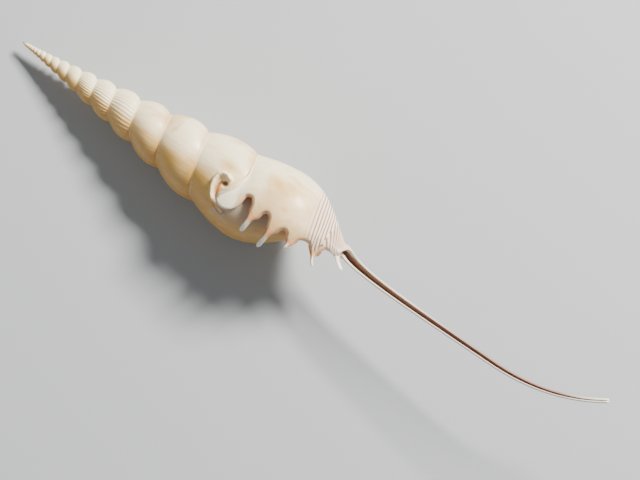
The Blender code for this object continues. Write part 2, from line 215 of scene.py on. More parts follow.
@dataclass(frozen=True)
class CanalForm:
    """The long open canal: an open tube, off the axis where it leaves the body and curved at its end."""

    rows: tuple[float, ...] = (
        132, 134.5, 138.5, 144, 150.5, 157.5, 165, 172.5, 180,
        187, 193.5, 199.5, 205, 210.5, 216, 221.5, 226, 229,
    )
    radii: Profile = (
        (96, 2.7), (125, 2.5), (131, 2.05), (139, 1.65), (149, 1.45), (163, 1.3), (180, 1.13), (199, 1.0),
        (215, 0.85), (229, 0.78),
    )
    slit_half_degrees: Profile = ((122, 0), (131, 52), (145, 50), (170, 46), (200, 38), (229, 30))
    bore: float = 0.62
    at_axis: float = 100.0
    offset: float = 2.6
    offset_at: float = 130.5
    offset_fade: float = 9.0
    bend_from: float = 190.0
    bend_square: float = 0.0048
    bend_cube: float = 6.7e-5
    edge_round: float = 0.16

    def radius(self, along: float) -> float:
        """Outer radius of the tube."""
        return through(self.radii, along)

    def slit_half(self, along: float) -> float:
        """Half of the angle that the slit takes out of the tube, in radians."""
        return math.radians(through(self.slit_half_degrees, along))

    def centre(self, along: float) -> float:
        """Sideways place of the canal's middle."""
        if along < self.offset_at:
            aside = self.offset * rise(along, (self.at_axis, self.offset_at))
        else:
            aside = self.offset * math.exp(-(along - self.offset_at) / self.offset_fade)
        past = max(along - self.bend_from, 0.0)
        return aside + self.bend_square * past**2 + self.bend_cube * past**3

    def at(self, along: float, angle: float, distance: float) -> Vector:
        """The point at an angle round the middle line of the shell and the canal, square to that line.

        Args:
            along: Distance from the apex.
            angle: Angle round the middle line, from +Z.
            distance: Distance from the middle line.

        Returns:
            The point in the shell's frame.
        """
        past = max(along - self.bend_from, 0.0)
        slope = 2 * self.bend_square * past + 3 * self.bend_cube * past**2
        across = Vector((-slope, 1.0, 0.0)).normalized()
        middle = Vector((along, self.centre(along), 0.0))
        return middle - across * (distance * math.sin(angle)) + Vector((0, 0, distance * math.cos(angle)))


@dataclass(frozen=True)
class LipForm:
    """The lip's outline, notches and fingers, as distance along the axis and distance to the left of it."""

    lobe: Profile = ((89.6, 0.0), (88.5, 1.9), (87.1, 3.1), (86.4, 4.7), (87.9, 6.3), (90.8, 7.0), (93.2, 5.9))
    notches: tuple[Profile, ...] = (
        ((93.8, 2.9), (94.5, -0.4), (97.2, -1.2), (99.1, 1.0)),
        ((102.1, 1.8), (103.9, 0.1), (106.3, 1.3)),
        ((109.8, 2.8), (111.6, 1.4), (113.7, 2.5)),
        ((116.2, 2.0), (118.3, 0.6), (120.7, 0.8)),
        ((123.6, 0.8), (124.8, -0.8), (126.8, -0.5)),
    )
    roots: tuple[Profile, ...] = (
        ((99.7, 3.5), (101.5, 4.4)),
        ((107.3, 4.3), (109.1, 4.6)),
        ((114.2, 4.6), (115.7, 4.0)),
        ((121.7, 2.5), (123.4, 2.6)),
        ((127.9, 0.5), (129.4, -0.1)),
    )
    tips: tuple[tuple[float, float, float], ...] = (
        (99.6, -10.5, 12.6), (107.0, -11.7, 11.8), (114.7, -7.4, 12.2), (124.8, -7.0, 7.4), (133.2, -2.8, 4.2),
    )
    finger_widths: tuple[float, ...] = (1.0, 1.0, 0.82, 0.86, 0.82)
    canal_mouth: Profile = ((129.5, -2.2), (130.2, -3.5))
    spread_turns: float = 0.25
    spread_power: float = 1.7
    least_row_gap: float = 0.5
    lobe_row_gap: float = 0.3
    lobe_back: float = 80.0
    lobe_lift: float = 2.5
    lobe_lift_along: Span = (99.0, 93.0)
    wall: float = 1.6
    most_wall: float = 0.5
    lean: float = 1.2
    lean_rows: Span = (5.0, 7.0)
    lobe_inset: float = 1.0
    rim_round: float = 0.32
    rim_columns: int = 4

    def outline(self) -> list[Place]:
        """The whole outline from the suture to the canal."""
        points = list(self.lobe)
        for notch, root in zip(self.notches, self.roots):
            points.extend(notch)
            points.extend(root)
        points.extend(self.canal_mouth)
        return points

    def finger_rows(self) -> list[int]:
        """The coarse row that each finger starts at."""
        rows = []
        row = len(self.lobe)
        for notch, root in zip(self.notches, self.roots):
            row += len(notch)
            rows.append(row)
            row += len(root)
        return rows

    def row_shares(self) -> list[float]:
        """Where each coarse row lies between the suture and the canal on the whorl before the lip."""
        outline = self.outline()
        lobe_rows = len(self.lobe)
        start = outline[0][0]
        places = [(outline[lobe_rows][0] - start) * row / lobe_rows for row in range(lobe_rows)]
        for along, _ in outline[lobe_rows:]:
            places.append(max(places[-1] + self.least_row_gap, along - start))
        return [place / places[-1] for place in places]

    def spread(self, turn: float) -> float:
        """How far the rows have spread out to meet the lip's outline, from 0 to 1."""
        return max(0.0, 1.0 + turn / self.spread_turns) ** self.spread_power

    def lift(self, along: float) -> float:
        """How far the lip's rear lobe stands off the whorl before it."""
        return self.lobe_lift * rise(along, self.lobe_lift_along)

    def thickness(self, outer: float, floor: float) -> float:
        """The lip's thickness over the whorl before it, at most a set share of the room between them."""
        return min(self.wall, self.most_wall * (outer - floor))


class RowPlace(NamedTuple):
    """Where a row of the body whorl lies."""

    along: float
    angle: float
    share: float
    spire_share: float
    aside: float


@dataclass
class ShellGrowth:
    """The shell's surface as places for a turn and a row, from the spire to the canal's end.

    The body's profile gives distance along the axis and radius, as shares of the whorl's own suture distance.
    """

    spire: SpireForm = field(default_factory=SpireForm)
    canal: CanalForm = field(default_factory=CanalForm)
    lip: LipForm = field(default_factory=LipForm)
    fine: int = 3
    profile: Profile = (
        (1.0, 0.149), (1.03, 0.158), (1.08, 0.173), (1.14, 0.184), (1.2, 0.187), (1.26, 0.173),
        (1.31, 0.148), (1.36, 0.110), (1.41, 0.069), (1.455, 0.038), (1.5, 0.02), (1.6, 0.0),
    )
    spire_until: float = -1.85
    body_turns: Span = (-1.35, -0.75)
    seam_blend: float = 2.0
    seam_turns: Span = (-1.0, -0.75)
    draw: Span = (3.0, 4.4)
    draw_turns: float = 0.22
    canal_blend_power: float = 6.0
    widest_sine: float = 0.9
    gutter_along: Span = (123.0, 134.0)
    hollow_angles: tuple[float, ...] = (0.0, 8.0, 26.0, 52.0, 78.0, 104.0, 130.0)
    hollow_corner: float = 1.3
    hollow_narrowing: float = 0.35
    gutter_turn_degrees: float = 160.0
    outline: list[Place] = field(init=False)
    rows: list[RowPlace] = field(init=False)

    def __post_init__(self) -> None:
        """Works out the rows once."""
        self.outline = self.lip.outline()
        self.rows = []
        self.rows = [self.place_row(index / self.fine) for index in range(self.last_row * self.fine + 1)]

    @property
    def lip_rows(self) -> int:
        """The number of coarse rows on the lip."""
        return len(self.outline)

    @property
    def hollow_steps(self) -> int:
        """The number of coarse columns of the hollow's ceiling, one fewer than its wall's."""
        return len(self.hollow_angles) - 2

    @property
    def last_row(self) -> int:
        """The coarse row at the canal's end."""
        return self.lip_rows + len(self.canal.rows) - 1

    @property
    def canal_start(self) -> float:
        """Distance along the axis of the lip's last row."""
        return self.outline[-1][0]

    def place_row(self, row: float) -> RowPlace:
        """Where a fine row meets the lip's edge.

        Args:
            row: The row, in coarse rows.

        Returns:
            Its place on the lip and its shares across the whorls.
        """
        last = self.lip_rows - 1
        spire_share = through(enumerate(self.spire.shares), row)
        if row <= last:
            along = through([(n, p[0]) for n, p in enumerate(self.outline)], row)
            aside = through([(n, p[1]) for n, p in enumerate(self.outline)], row)
            shares = self.lip.row_shares()
            low = min(int(row), last - 1)
            share = mix(shares[low], shares[low + 1], row - low)
            angle = self.angle_aside(along, aside, self.radius(0, along))
            return RowPlace(along, angle, share, spire_share, aside)
        first = self.canal.rows[0]
        if row < last + 1:
            start = self.place_row(last)
            along = mix(start.along, first, row - last)
            angle = mix(start.angle, -self.canal.slit_half(first), row - last)
            return RowPlace(along, angle, 1.0, 1.0, start.aside)
        along = through(enumerate(self.canal.rows), row - last - 1)
        return RowPlace(along, -self.canal.slit_half(along), 1.0, 1.0, 0.0)

    def row_at(self, row: float) -> RowPlace:
        """The place of a row, between fine rows too."""
        index = min(max(row * self.fine, 0.0), len(self.rows) - 1.0)
        low = min(int(index + ROW_SLACK), len(self.rows) - 1)
        part = index - low
        if part < ROW_SLACK:
            return self.rows[low]
        return RowPlace(*(mix(a, b, part) for a, b in zip(self.rows[low], self.rows[low + 1])))

    def base_place(self, turn: float, along: float) -> float:
        """Where a point lies on the body's profile."""
        drawn = mix(*self.draw, rise(along, (self.outline[0][0], self.canal_start)))
        return (along + drawn * rise(turn, (-self.draw_turns, 0.0))) / self.spire.helix(turn)

    def open_radius(self, turn: float, along: float) -> float:
        """Radius of a whorl past its sutures, where the spire's form turns into the body whorl's."""
        low = self.spire.helix(turn)
        place = self.base_place(turn, along)
        body = low * through(self.profile, place)
        inside = min(place, self.spire.expansion)
        early = self.spire.radius(turn, inside * low) / (low * through(self.profile, inside))
        return body * mix(early, 1.0, rise(turn, self.body_turns))

    def radius(self, turn: float, along: float) -> float:
        """Radius of the outer surface, met to the whorl before it at the suture and to the canal in front."""
        if turn < self.spire_until:
            return self.spire.radius(turn, along)
        start = self.spire.suture(turn)
        gap = self.radius(turn - 1, start) - self.open_radius(turn, start)
        whorl = self.open_radius(turn, along) + gap * math.exp(-max(along - start, 0.0) / self.seam_blend)
        if along < self.canal.radii[0][0]:
            return whorl
        power = self.canal_blend_power
        return (whorl**power + self.canal.radius(along) ** power) ** (1 / power)

    def angle_aside(self, along: float, aside: float, distance: float) -> float:
        """The angle round the middle line at which a point lies this far to the left of the axis."""
        sine = (aside + self.canal.centre(along)) / distance
        return math.asin(min(max(sine, -self.widest_sine), self.widest_sine))

    def gutter_share(self, along: float) -> float:
        """0 in the aperture, where the hollow is a wide chamber, and 1 in the canal, where it is a gutter."""
        return rise(along, self.gutter_along)

    def row_along(self, turn: float, row: float) -> float:
        """Distance along the axis of a row of the body whorl.

        Args:
            turn: Growth in turns, from -1 to 0.
            row: The row, in coarse rows.

        Returns:
            The distance from the apex.
        """
        here = self.row_at(row)
        if row > self.lip_rows - 1:
            return here.along
        start = self.spire.suture(turn)
        end = self.canal_start
        even = mix(start, end, here.share)
        seam = self.spire.helix(turn + 1) - self.spire.lip_climb
        if row <= self.spire.rows:
            met = mix(start, seam, here.spire_share)
        else:
            seam_share = self.row_at(self.spire.rows).share
            met = mix(seam, end, (here.share - seam_share) / (1 - seam_share))
        along = mix(met, even, rise(turn, self.seam_turns))
        if turn == 0:
            return here.along
        if row == 0:
            return along
        spread = self.lip.spread(turn)
        along = mix(along, here.along, spread)
        if row < len(self.lip.lobe):
            reach = turn + here.angle * spread / math.tau
            limit = self.spire.suture(reach) - self.lip.lobe_back * max(reach, 0.0)
            along = max(along, limit + self.lip.lobe_row_gap * row)
        return along

    def skin(self, turn: float, row: float) -> Vector:
        """The point of the outer surface for a turn and a row."""
        if turn < -1:
            share = self.row_at(row).spire_share
            along = mix(self.spire.suture(turn), self.spire.suture(turn + 1), share)
            return self.canal.at(along, math.tau * turn, self.radius(turn, along))
        along = self.row_along(turn, row)
        half = self.canal.slit_half(along)
        spread = self.lip.spread(turn)
        lip_angle = self.row_at(row).angle
        stretch = mix(spread, turn + 1, self.gutter_share(along))
        angle = half + (math.tau - half) * (turn + 1) + lip_angle * stretch
        if row > self.lip_rows - 1:
            return self.canal.at(along, angle, self.radius(turn, along))
        distance = self.radius(min(turn + lip_angle * spread / math.tau, 0.0), along)
        if row and turn > -self.lip.spread_turns:
            distance = max(distance, self.radius(turn - 1, along) + self.lip.lift(along) * spread**2)
        return self.canal.at(along, angle, distance)

    def hollow_turn(self, step: float) -> float:
        """How far back in turns a column of the hollow lies, between coarse columns too."""
        low = min(int(step), len(self.hollow_angles) - 2)
        return -mix(self.hollow_angles[low], self.hollow_angles[low + 1], step - low) / 360

    def corner(self, step: float) -> float:
        """Distance along the axis of the hollow's rear corner, inside the wall at the suture."""
        return self.spire.suture(self.hollow_turn(step)) + self.hollow_corner * min(step, 1.0)

    def deep_share(self, row: float) -> float:
        """Where a row of the parietal wall lies between the suture and the canal."""
        start = self.spire.suture(0)
        return (self.row_along(-1, row) - start) / (self.canal_start - start)

    def gutter_point(self, along: float, side: float, share: float) -> Vector:
        """A point inside the canal, from the slit's edge at share 0 to its bottom at share 1."""
        half = self.canal.slit_half(along)
        angle = side * mix(half, math.radians(self.gutter_turn_degrees), share)
        return self.canal.at(along, angle, self.canal.radius(along) * self.canal.bore)

    def wall_base(self, step: float, row: float) -> Vector:
        """The wall under the lip before it is fitted to the outer surface's first column."""
        turn = self.hollow_turn(step)
        if row > self.lip_rows - 1:
            along = self.row_at(row).along
        else:
            along = mix(self.corner(step), self.canal_start, self.deep_share(row))
        wall = self.canal.at(along, math.tau * turn, self.radius(turn - 1, along))
        gutter = self.gutter_point(along, 1.0, max(step - 1, 0.0) / self.hollow_steps)
        if step < 1:
            half = self.canal.slit_half(along)
            edge = self.canal.at(along, half, self.canal.radius(along))
            towards_slit = self.canal.at(along, half - 0.5 * math.pi, 1.0) - self.canal.at(along, 0.0, 0.0)
            gutter = edge.lerp(gutter, step) + towards_slit * (hump(step) * self.canal.edge_round)
        return wall.lerp(gutter, self.gutter_share(along))

    def wall_point(self, step: float, row: float) -> Vector:
        """The surface that runs on under the lip: the wall of the whorl before, the columella and the gutter."""
        if step >= 1:
            return self.wall_base(step, row)
        misfit = self.skin(-1.0, row) - self.wall_base(0.0, row)
        return self.wall_base(step, row) + misfit * (1 - step)

    def hollow_end_point(self, share: float, row: float) -> Vector:
        """The deep end of the hollow, between the lip's inner face and the wall under it."""
        if row <= self.spire.rows:
            return self.wall_point(self.hollow_steps + share, row)
        start = self.lip_inside_point(self.hollow_steps, row)
        return start.lerp(self.wall_point(self.hollow_steps + 1, row), share)

    def rim_facing(self, row: float) -> Vector:
        """Which way the lip's edge faces in the plane of its outline."""
        step = 1 / self.fine
        before = self.row_at(max(row - step, 0.0))
        after = self.row_at(min(row + step, self.lip_rows - 1.0))
        return Vector((before.aside - after.aside, after.along - before.along)).normalized()

    def rim_point(self, row: float, lean: float) -> Vector:
        """The inner edge of the lip's rim.

        Args:
            row: The row, in coarse rows.
            lean: How far it leans out past the outer edge.

        Returns:
            The point in the shell's frame.
        """
        here = self.row_at(row)
        reach = mix(-self.lip.lobe_inset, lean, rise(row, self.lip.lean_rows))
        out = self.rim_facing(row) * (reach * (1 - self.gutter_share(here.along)))
        outer = self.radius(0, here.along)
        floor = self.radius(-1, here.along)
        outer = max(outer, floor + self.lip.lift(here.along))
        distance = outer - self.lip.thickness(outer, floor)
        along = here.along + out.x
        return self.canal.at(along, self.angle_aside(along, here.aside + out.y, distance), distance)

    def lip_inside_point(self, step: float, row: float) -> Vector:
        """The inner face of the lip, from its edge back into the hollow."""
        turn = self.hollow_turn(step)
        if row > self.lip_rows - 1:
            along = self.row_at(row).along
        else:
            deep = self.deep_share(row) if row > self.spire.rows else 0.0
            share = mix(self.row_at(row).share, deep, step / self.hollow_steps)
            along = mix(self.corner(step), self.canal_start, share)
        angle = math.tau * turn
        if 0 < row <= self.lip_rows - 1 and step < 2:
            near = 1 - smooth(step - 1)
            along = mix(along, self.row_along(turn, row), near * (1 - self.hollow_narrowing))
            angle += self.row_at(row).angle * self.lip.spread(turn) * near
        floor = self.radius(turn - 1, along)
        outer = self.radius(turn, along)
        if 0 < row <= self.lip_rows - 1:
            outer = max(outer, floor + self.lip.lift(along) * self.lip.spread(turn) ** 2)
        if row == 0 or (row <= self.spire.rows and step == self.hollow_steps):
            distance = floor
        else:
            distance = outer - self.lip.thickness(outer, floor)
        chamber = self.canal.at(along, angle, distance)
        rim_share = min(max(self.lip_rows - row, 0.0), 1.0)
        if step < 1 and row > 0 and rim_share > 0:
            rim = self.rim_point(min(row, self.lip_rows - 1.0), self.lip.lean)
            chamber = rim.lerp(chamber, max(smooth(step), 1 - rim_share))
        gutter = self.gutter_point(along, -1.0, step / self.hollow_steps)
        return chamber.lerp(gutter, self.gutter_share(along))

    def lip_edge_point(self, share: float, row: float) -> Vector:
        """The rounded edge of the lip and of the canal's wall, from the outer face to the inner one."""
        outer = self.skin(0.0, row)
        inner = self.lip_inside_point(0.0, row)
        swell = hump(share)
        along = self.row_at(row).along
        if row > self.lip_rows - 1:
            swell *= self.canal.edge_round
            half = self.canal.slit_half(along)
            outward = self.canal.at(along, 0.5 * math.pi - half, 1.0) - self.canal.at(along, 0.0, 0.0)
        else:
            swell *= self.lip.rim_round * min(1.0, row)
            facing = self.rim_facing(row)
            outward = Vector((facing.x, -facing.y, 0.0))
        return outer.lerp(inner, share) + outward * swell


@dataclass(frozen=True)
class HookForm:
    """The hooked ridge of the rear canal on the whorl behind the lip, with the groove and the pit inside it.

    Lines are distance along the axis and distance to the left of it.
    """

    ridge: Profile = (
        (90.6, 9.3), (88.6, 8.6), (86.4, 7.4), (84.8, 5.6), (83.7, 3.4), (83.2, 1.2), (83.6, -0.6),
        (84.7, -1.7), (86.2, -1.9), (87.2, -1.3),
    )
    groove: Profile = ((85.6, 0.9), (85.2, 2.2), (85.4, 4.0), (86.2, 5.7), (87.6, 7.0), (89.4, 7.9))
    lobe_edge: Profile = ((87.6, 2.6), (86.6, 3.9), (86.5, 4.9), (87.4, 5.9))
    # painted shade where the lobe's edge curves down into the groove
    lobe_edge_shade: float = 0.8
    lobe_edge_shade_width: float = 1.5
    turns: Span = (-1.12, -0.72)
    rows_before_seam: float = 0.6
    rows_past_seam: float = 4.0
    pit: Place = (86.9, 0.9)
    ridge_height: float = 1.8
    ridge_width: float = 1.1
    groove_depth: float = 0.55
    groove_width: float = 0.9
    pit_depth: float = 0.9
    pit_radius: float = 1.7
    reach: float = 2.6
    cuts: int = 2
    clearance: float = 1.2

    def ridge_share(self, place: Vector) -> float:
        """1 on the ridge's crest and 0 off the ridge."""
        return rise(line_distance(self.ridge, place), (self.ridge_width, 0.0))

    def groove_share(self, place: Vector) -> float:
        """1 in the middle of the groove and 0 off it."""
        return rise(line_distance(self.groove, place), (self.groove_width, 0.0))

    def pit_share(self, place: Vector) -> float:
        """1 in the middle of the pit and 0 off it."""
        return rise((place - Vector(self.pit)).length, (self.pit_radius, 0.0))

    def lobe_edge_shade_share(self, place: Vector) -> float:
        """How strongly the lobe takes the groove's colour, partly painted shade, along its own edge."""
        return self.lobe_edge_shade * rise(line_distance(self.lobe_edge, place), (self.lobe_edge_shade_width, 0.0))

    def height(self, place: Vector, lobe: Profile) -> float:
        """How far the surface stands up at a place beside the lobe's edge, in millimetres."""
        clear = rise(line_distance(lobe, place), (0.0, self.clearance))
        up = self.ridge_height * self.ridge_share(place) * clear
        return up - self.groove_depth * self.groove_share(place) - self.pit_depth * self.pit_share(place)


@dataclass(frozen=True)
class ReliefForm:
    """The fine relief: ribs on the early whorls and uneven growth on the later ones."""

    ribs: int = 36
    rib_height: float = 0.0028
    ribs_begin: Span = (5.0, 11.0)
    ribs_end: Span = (48.0, 32.0)
    rib_bow: float = 1.1
    rib_ends: float = 0.1
    growth_height: float = 0.05
    growth_pitch: float = 26.0
    growth_shear: float = 0.16
    growth_along: Span = (25.0, 55.0)
    growth_canal: Span = (134.0, 126.0)
    growth_rows: Span = (0.0, 1.5)
    growth_ends: float = 0.15

    def rib_strength(self, low: float) -> float:
        """How strong the ribs are on the whorl whose suture is this far from the apex."""
        return rise(low, self.ribs_begin) * rise(low, self.ribs_end)

    def rib_wave(self, turn: float, share: float) -> float:
        """From -1 in the grooves between the ribs to 1 on their crests."""
        wave = math.cos(math.tau * self.ribs * turn + self.rib_bow * math.sin(math.pi * share))
        ends = rise(min(share, 1 - share), (0.0, self.rib_ends))
        return wave * ends


@dataclass(frozen=True)
class FingerForm:
    """A finger of the lip: a round bowed prong, as radii in millimetres by share of its length."""

    bow: float = 0.7
    stages: Profile = (
        (0.05, 1.3), (0.12, 1.2), (0.2, 1.12), (0.32, 1.05), (0.46, 0.99), (0.6, 0.95), (0.74, 0.93),
        (0.86, 0.92), (0.93, 0.82), (0.975, 0.58), (1.0, 0.25),
    )
    round_by: float = 0.2
    root_smoothing: int = 4
    root_factor: float = 0.5
    root_radius: float = 2.6
    root_reach: float = 0.3


class Masks(str, Enum):
    """The attributes that carry where each finish lies on the surface, four shares in each."""

    LIP = "lip_masks"
    HOOK = "hook_masks"
    WHORL = "whorl_masks"
    BASE = "base_masks"
    CANAL = "canal_masks"
    # painted shade on the left flank, and the real tint of the canal's upper side
    WEAR = "wear_masks"


GROWTH_MAP = "growth"
Shares = tuple[float, float, float, float]


class Corner(NamedTuple):
    """A face's corner: where it is on the growth and in the shell's frame, and where on a finger."""

    region: Region
    turn: float
    row: float
    co: Vector
    reach: float
    side: float

    @property
    def outer(self) -> bool:
        """Whether it is on the outer surface."""
        return self.region in (Region.SPIRE, Region.BODY)


@dataclass(frozen=True)
class MarkForm:
    """Where the finishes lie on the surface.

    A span is where a share starts and where it is full, in turns, rows or columns of the growth, in shares of
    a finger, or in millimetres along the axis. A patch is its distance along the axis, its distance to the left
    of it, and its half length and half width.
    """

    past_lobe_rows: Span = (5.5, 7.5)
    edge_rim: Span = (0.0, 1 / 3)
    inside_rim: Span = (1.6, 0.5)
    # painted shade in the hollow under the lip
    inside_hollow_shade: Span = (0.6, 2.0)
    wall_hollow_shade: Span = (-0.6, 1.8)
    finger_rim: Span = (0.4, 0.0)
    finger_tip: Span = (0.1, 0.55)
    finger_edge_side: Span = (-0.2, -0.8)
    finger_edge_reach: Span = (0.8, 0.4)
    edge_facing: Span = (0.3, -0.6)
    edge_least: float = 0.3
    shade: float = 0.75
    shade_turns: Span = (-0.95, -1.0)
    wall_rows: Span = (5.0, 7.0)
    wall_turns: Span = (-0.83, -0.93)
    lip_turn: float = -0.3
    lobe_distance: Span = (6.5, 1.5)
    lobe_along: Span = (101.0, 95.0)
    band_rows: Span = (3.4, 4.9)
    band_turns: Span = (-0.7, -1.0)
    suture_rows: Span = (0.45, 0.0)
    stain_along: Span = (38.0, 63.0)
    cords_begin: Span = (1.265, 1.30)
    cords_end: Span = (1.43, 1.385)
    cord_turns: Span = (-0.62, -0.37)
    blush_turns: Span = (-0.12, 0.0)
    blush_along: Span = (93.0, 103.0)
    base_along: Span = (112.0, 124.0)
    base_turn: float = -0.6
    canal_along: Span = (124.0, 134.0)
    canal_end: Span = (150.0, 229.0)
    gutter_middle: float = 0.45
    gutter_inside: Span = (0.0, 2 / 3)
    gutter_wall: Span = (1.0, 5.5)
    gutter_wall_inside: Span = (0.6, 1.6)
    gutter_floor: Span = (0.35, 0.8)
    # painted shade: strongest on the left flank, away from the key light, and paler on the lit side
    flank_shade: float = 0.45
    flank_shade_left: float = 0.75
    flank_shade_up: float = -0.15
    patches: tuple[tuple[float, float, float, float], ...] = (
        (109.0, -8.0, 14.0, 8.5), (108.2, -3.2, 4.0, 2.8), (101.5, -9.0, 7.0, 4.0), (79.0, 4.2, 9.0, 5.5),
        (84.5, -4.6, 6.0, 3.4), (66.0, 4.6, 7.5, 4.4),
    )

    def cord_strength(self, turn: float, place: float) -> float:
        """How strong the cords are at a place, as a share of the whorl's own suture distance."""
        return rise(place, self.cords_begin) * rise(place, self.cords_end) * rise(turn, self.cord_turns)

    def patch_strength(self, place: Vector) -> float:
        """How strong the orange patches are at a place in the plane of the lip's outline."""
        most = 0.0
        for along, aside, half_length, half_width in self.patches:
            span = math.hypot((place.x - along) / half_length, (place.y - aside) / half_width)
            most = max(most, rise(span, (1.0, 0.0)))
        return most


@dataclass
class ShellPiece:
    """The whole shell as one closed mesh, with its place on the spiral and the finishes' masks on it."""

    growth: ShellGrowth = field(default_factory=ShellGrowth)
    hook: HookForm = field(default_factory=HookForm)
    relief: ReliefForm = field(default_factory=ReliefForm)
    finger: FingerForm = field(default_factory=FingerForm)
    marks: MarkForm = field(default_factory=MarkForm)
    roll_degrees: float = 7.93
    pitch_degrees: float = 6.8
    weld: float = 0.002
    shortest_edge: float = 0.0005
    mesh: bmesh.types.BMesh = field(default_factory=bmesh.new)
    placement: Matrix = field(default_factory=lambda: Matrix.Identity(4))

    def __post_init__(self) -> None:
        """Gives the mesh its layers before it has any face."""
        self.region = self.mesh.faces.layers.int.new("region")
        self.spot = self.mesh.loops.layers.uv.new(GROWTH_MAP)
        self.masks = {name: self.mesh.loops.layers.float_color.new(name.value) for name in Masks}
        self.reach = self.mesh.verts.layers.float.new("reach")
        self.side = self.mesh.verts.layers.float.new("side")
        self.offset = self.mesh.verts.layers.float_vector.new("offset")

    def patch(
        self, region: Region, columns: int, rows: int, start: Spot, unit: int,
        place: Callable[[float, float], Vector],
    ) -> None:
        """Adds a grid of faces and lays it on a surface.

        Args:
            region: The stretch of surface that it is.
            columns: Its faces along the growth.
            rows: Its faces across the growth.
            start: The turn or step, and the row, of its first corner.
            unit: The faces along the growth for each turn or step.
            place: The point of the surface for a turn or step, and a row.
        """
        made = bmesh.ops.create_grid(self.mesh, x_segments=columns, y_segments=rows, size=0.5)["verts"]
        spots = {}
        for v in made:
            column = round((v.co.x + 0.5) * columns)
            row = round((v.co.y + 0.5) * rows)
            spots[v] = (column / unit + start[0], start[1] + row / self.growth.fine)
        for face in {f for v in made for f in v.link_faces}:
            face[self.region] = region
            for loop in face.loops:
                loop[self.spot].uv = spots[loop.vert]
        for v, where in spots.items():
            v.co = place(*where)

    def lay_patches(self) -> None:
        """Lays every stretch of the surface and welds them into one."""
        growth, spire, fine = self.growth, self.growth.spire, self.growth.fine
        turn, steps, rim = spire.columns, growth.hollow_steps, growth.lip.rim_columns
        rows = growth.last_row * fine
        whorl_rows = spire.rows * fine
        wall_rows = rows - whorl_rows
        seam = (0.0, spire.rows)
        spire_columns = turn * (spire.whorls - 1)
        self.patch(Region.SPIRE, spire_columns, whorl_rows, (-spire.whorls, 0.0), turn, growth.skin)
        self.patch(Region.BODY, turn, rows, (-1.0, 0.0), turn, growth.skin)
        self.patch(Region.LIP_EDGE, rim, rows, (0.0, 0.0), rim, growth.lip_edge_point)
        self.patch(Region.LIP_INSIDE, steps * fine, rows, (0.0, 0.0), fine, growth.lip_inside_point)
        self.patch(Region.WALL, (steps + 1) * fine, wall_rows, seam, fine, growth.wall_point)
        self.patch(Region.HOLLOW_END, fine, wall_rows, seam, fine, growth.hollow_end_point)
        bmesh.ops.remove_doubles(self.mesh, verts=self.mesh.verts[:], dist=self.weld)
        bmesh.ops.dissolve_degenerate(self.mesh, edges=self.mesh.edges[:], dist=self.shortest_edge)

    def close_ends(self) -> None:
        """Closes the apex with a small dome and the canal's end with a flat face."""
        spire = self.growth.spire
        rims = [e for e in self.mesh.edges if e.is_boundary]
        filled = bmesh.ops.holes_fill(self.mesh, edges=rims, sides=0)["faces"]
        log.info("filled %d holes", len(filled))
        apex_cap = min(filled, key=lambda f: f.calc_center_median().x)
        for face in filled:
            is_apex = face is apex_cap
            face[self.region] = Region.SPIRE if is_apex else Region.LIP_EDGE
            for loop in face.loops:
                loop[self.spot].uv = (-spire.whorls, 0.0) if is_apex else (0.5, self.growth.last_row)
        apex = bmesh.ops.poke(self.mesh, faces=[apex_cap])["verts"][0]
        apex.co = Vector((spire.apex_at, 0.0, 0.0))
        bmesh.ops.recalc_face_normals(self.mesh, faces=self.mesh.faces[:])

    def finger_cap(self, row: int) -> list[bmesh.types.BMFace]:
        """The faces of the rim between a coarse row and the next one."""
        cap = []
        for face in self.mesh.faces:
            middle = sum(loop[self.spot].uv.y for loop in face.loops) / len(face.loops)
            if face[self.region] == Region.LIP_EDGE and row < middle < row + 1:
                cap.append(face)
        return cap

    def finger_directions(self, cap: list[bmesh.types.BMFace], reach: Vector) -> tuple[Vector, Vector]:
        """Which way a finger's root faces and which way it is wide.

        Args:
            cap: The faces that the finger grows from.
            reach: The way from them to its tip.

        Returns:
            The direction that they face and the direction along the rim, square to it.
        """
        facing = sum((f.normal for f in cap), Vector()).normalized()
        if facing.dot(reach) < 0:
            facing.negate()
        sides = {}
        for face in cap:
            for loop in face.loops:
                sides.setdefault(round(loop[self.spot].uv.y * self.growth.fine), []).append(loop.vert.co)
        first, last = sides[min(sides)], sides[max(sides)]
        wide = sum(last, Vector()) / len(last) - sum(first, Vector()) / len(first)
        return facing, (wide - facing * wide.dot(facing)).normalized()

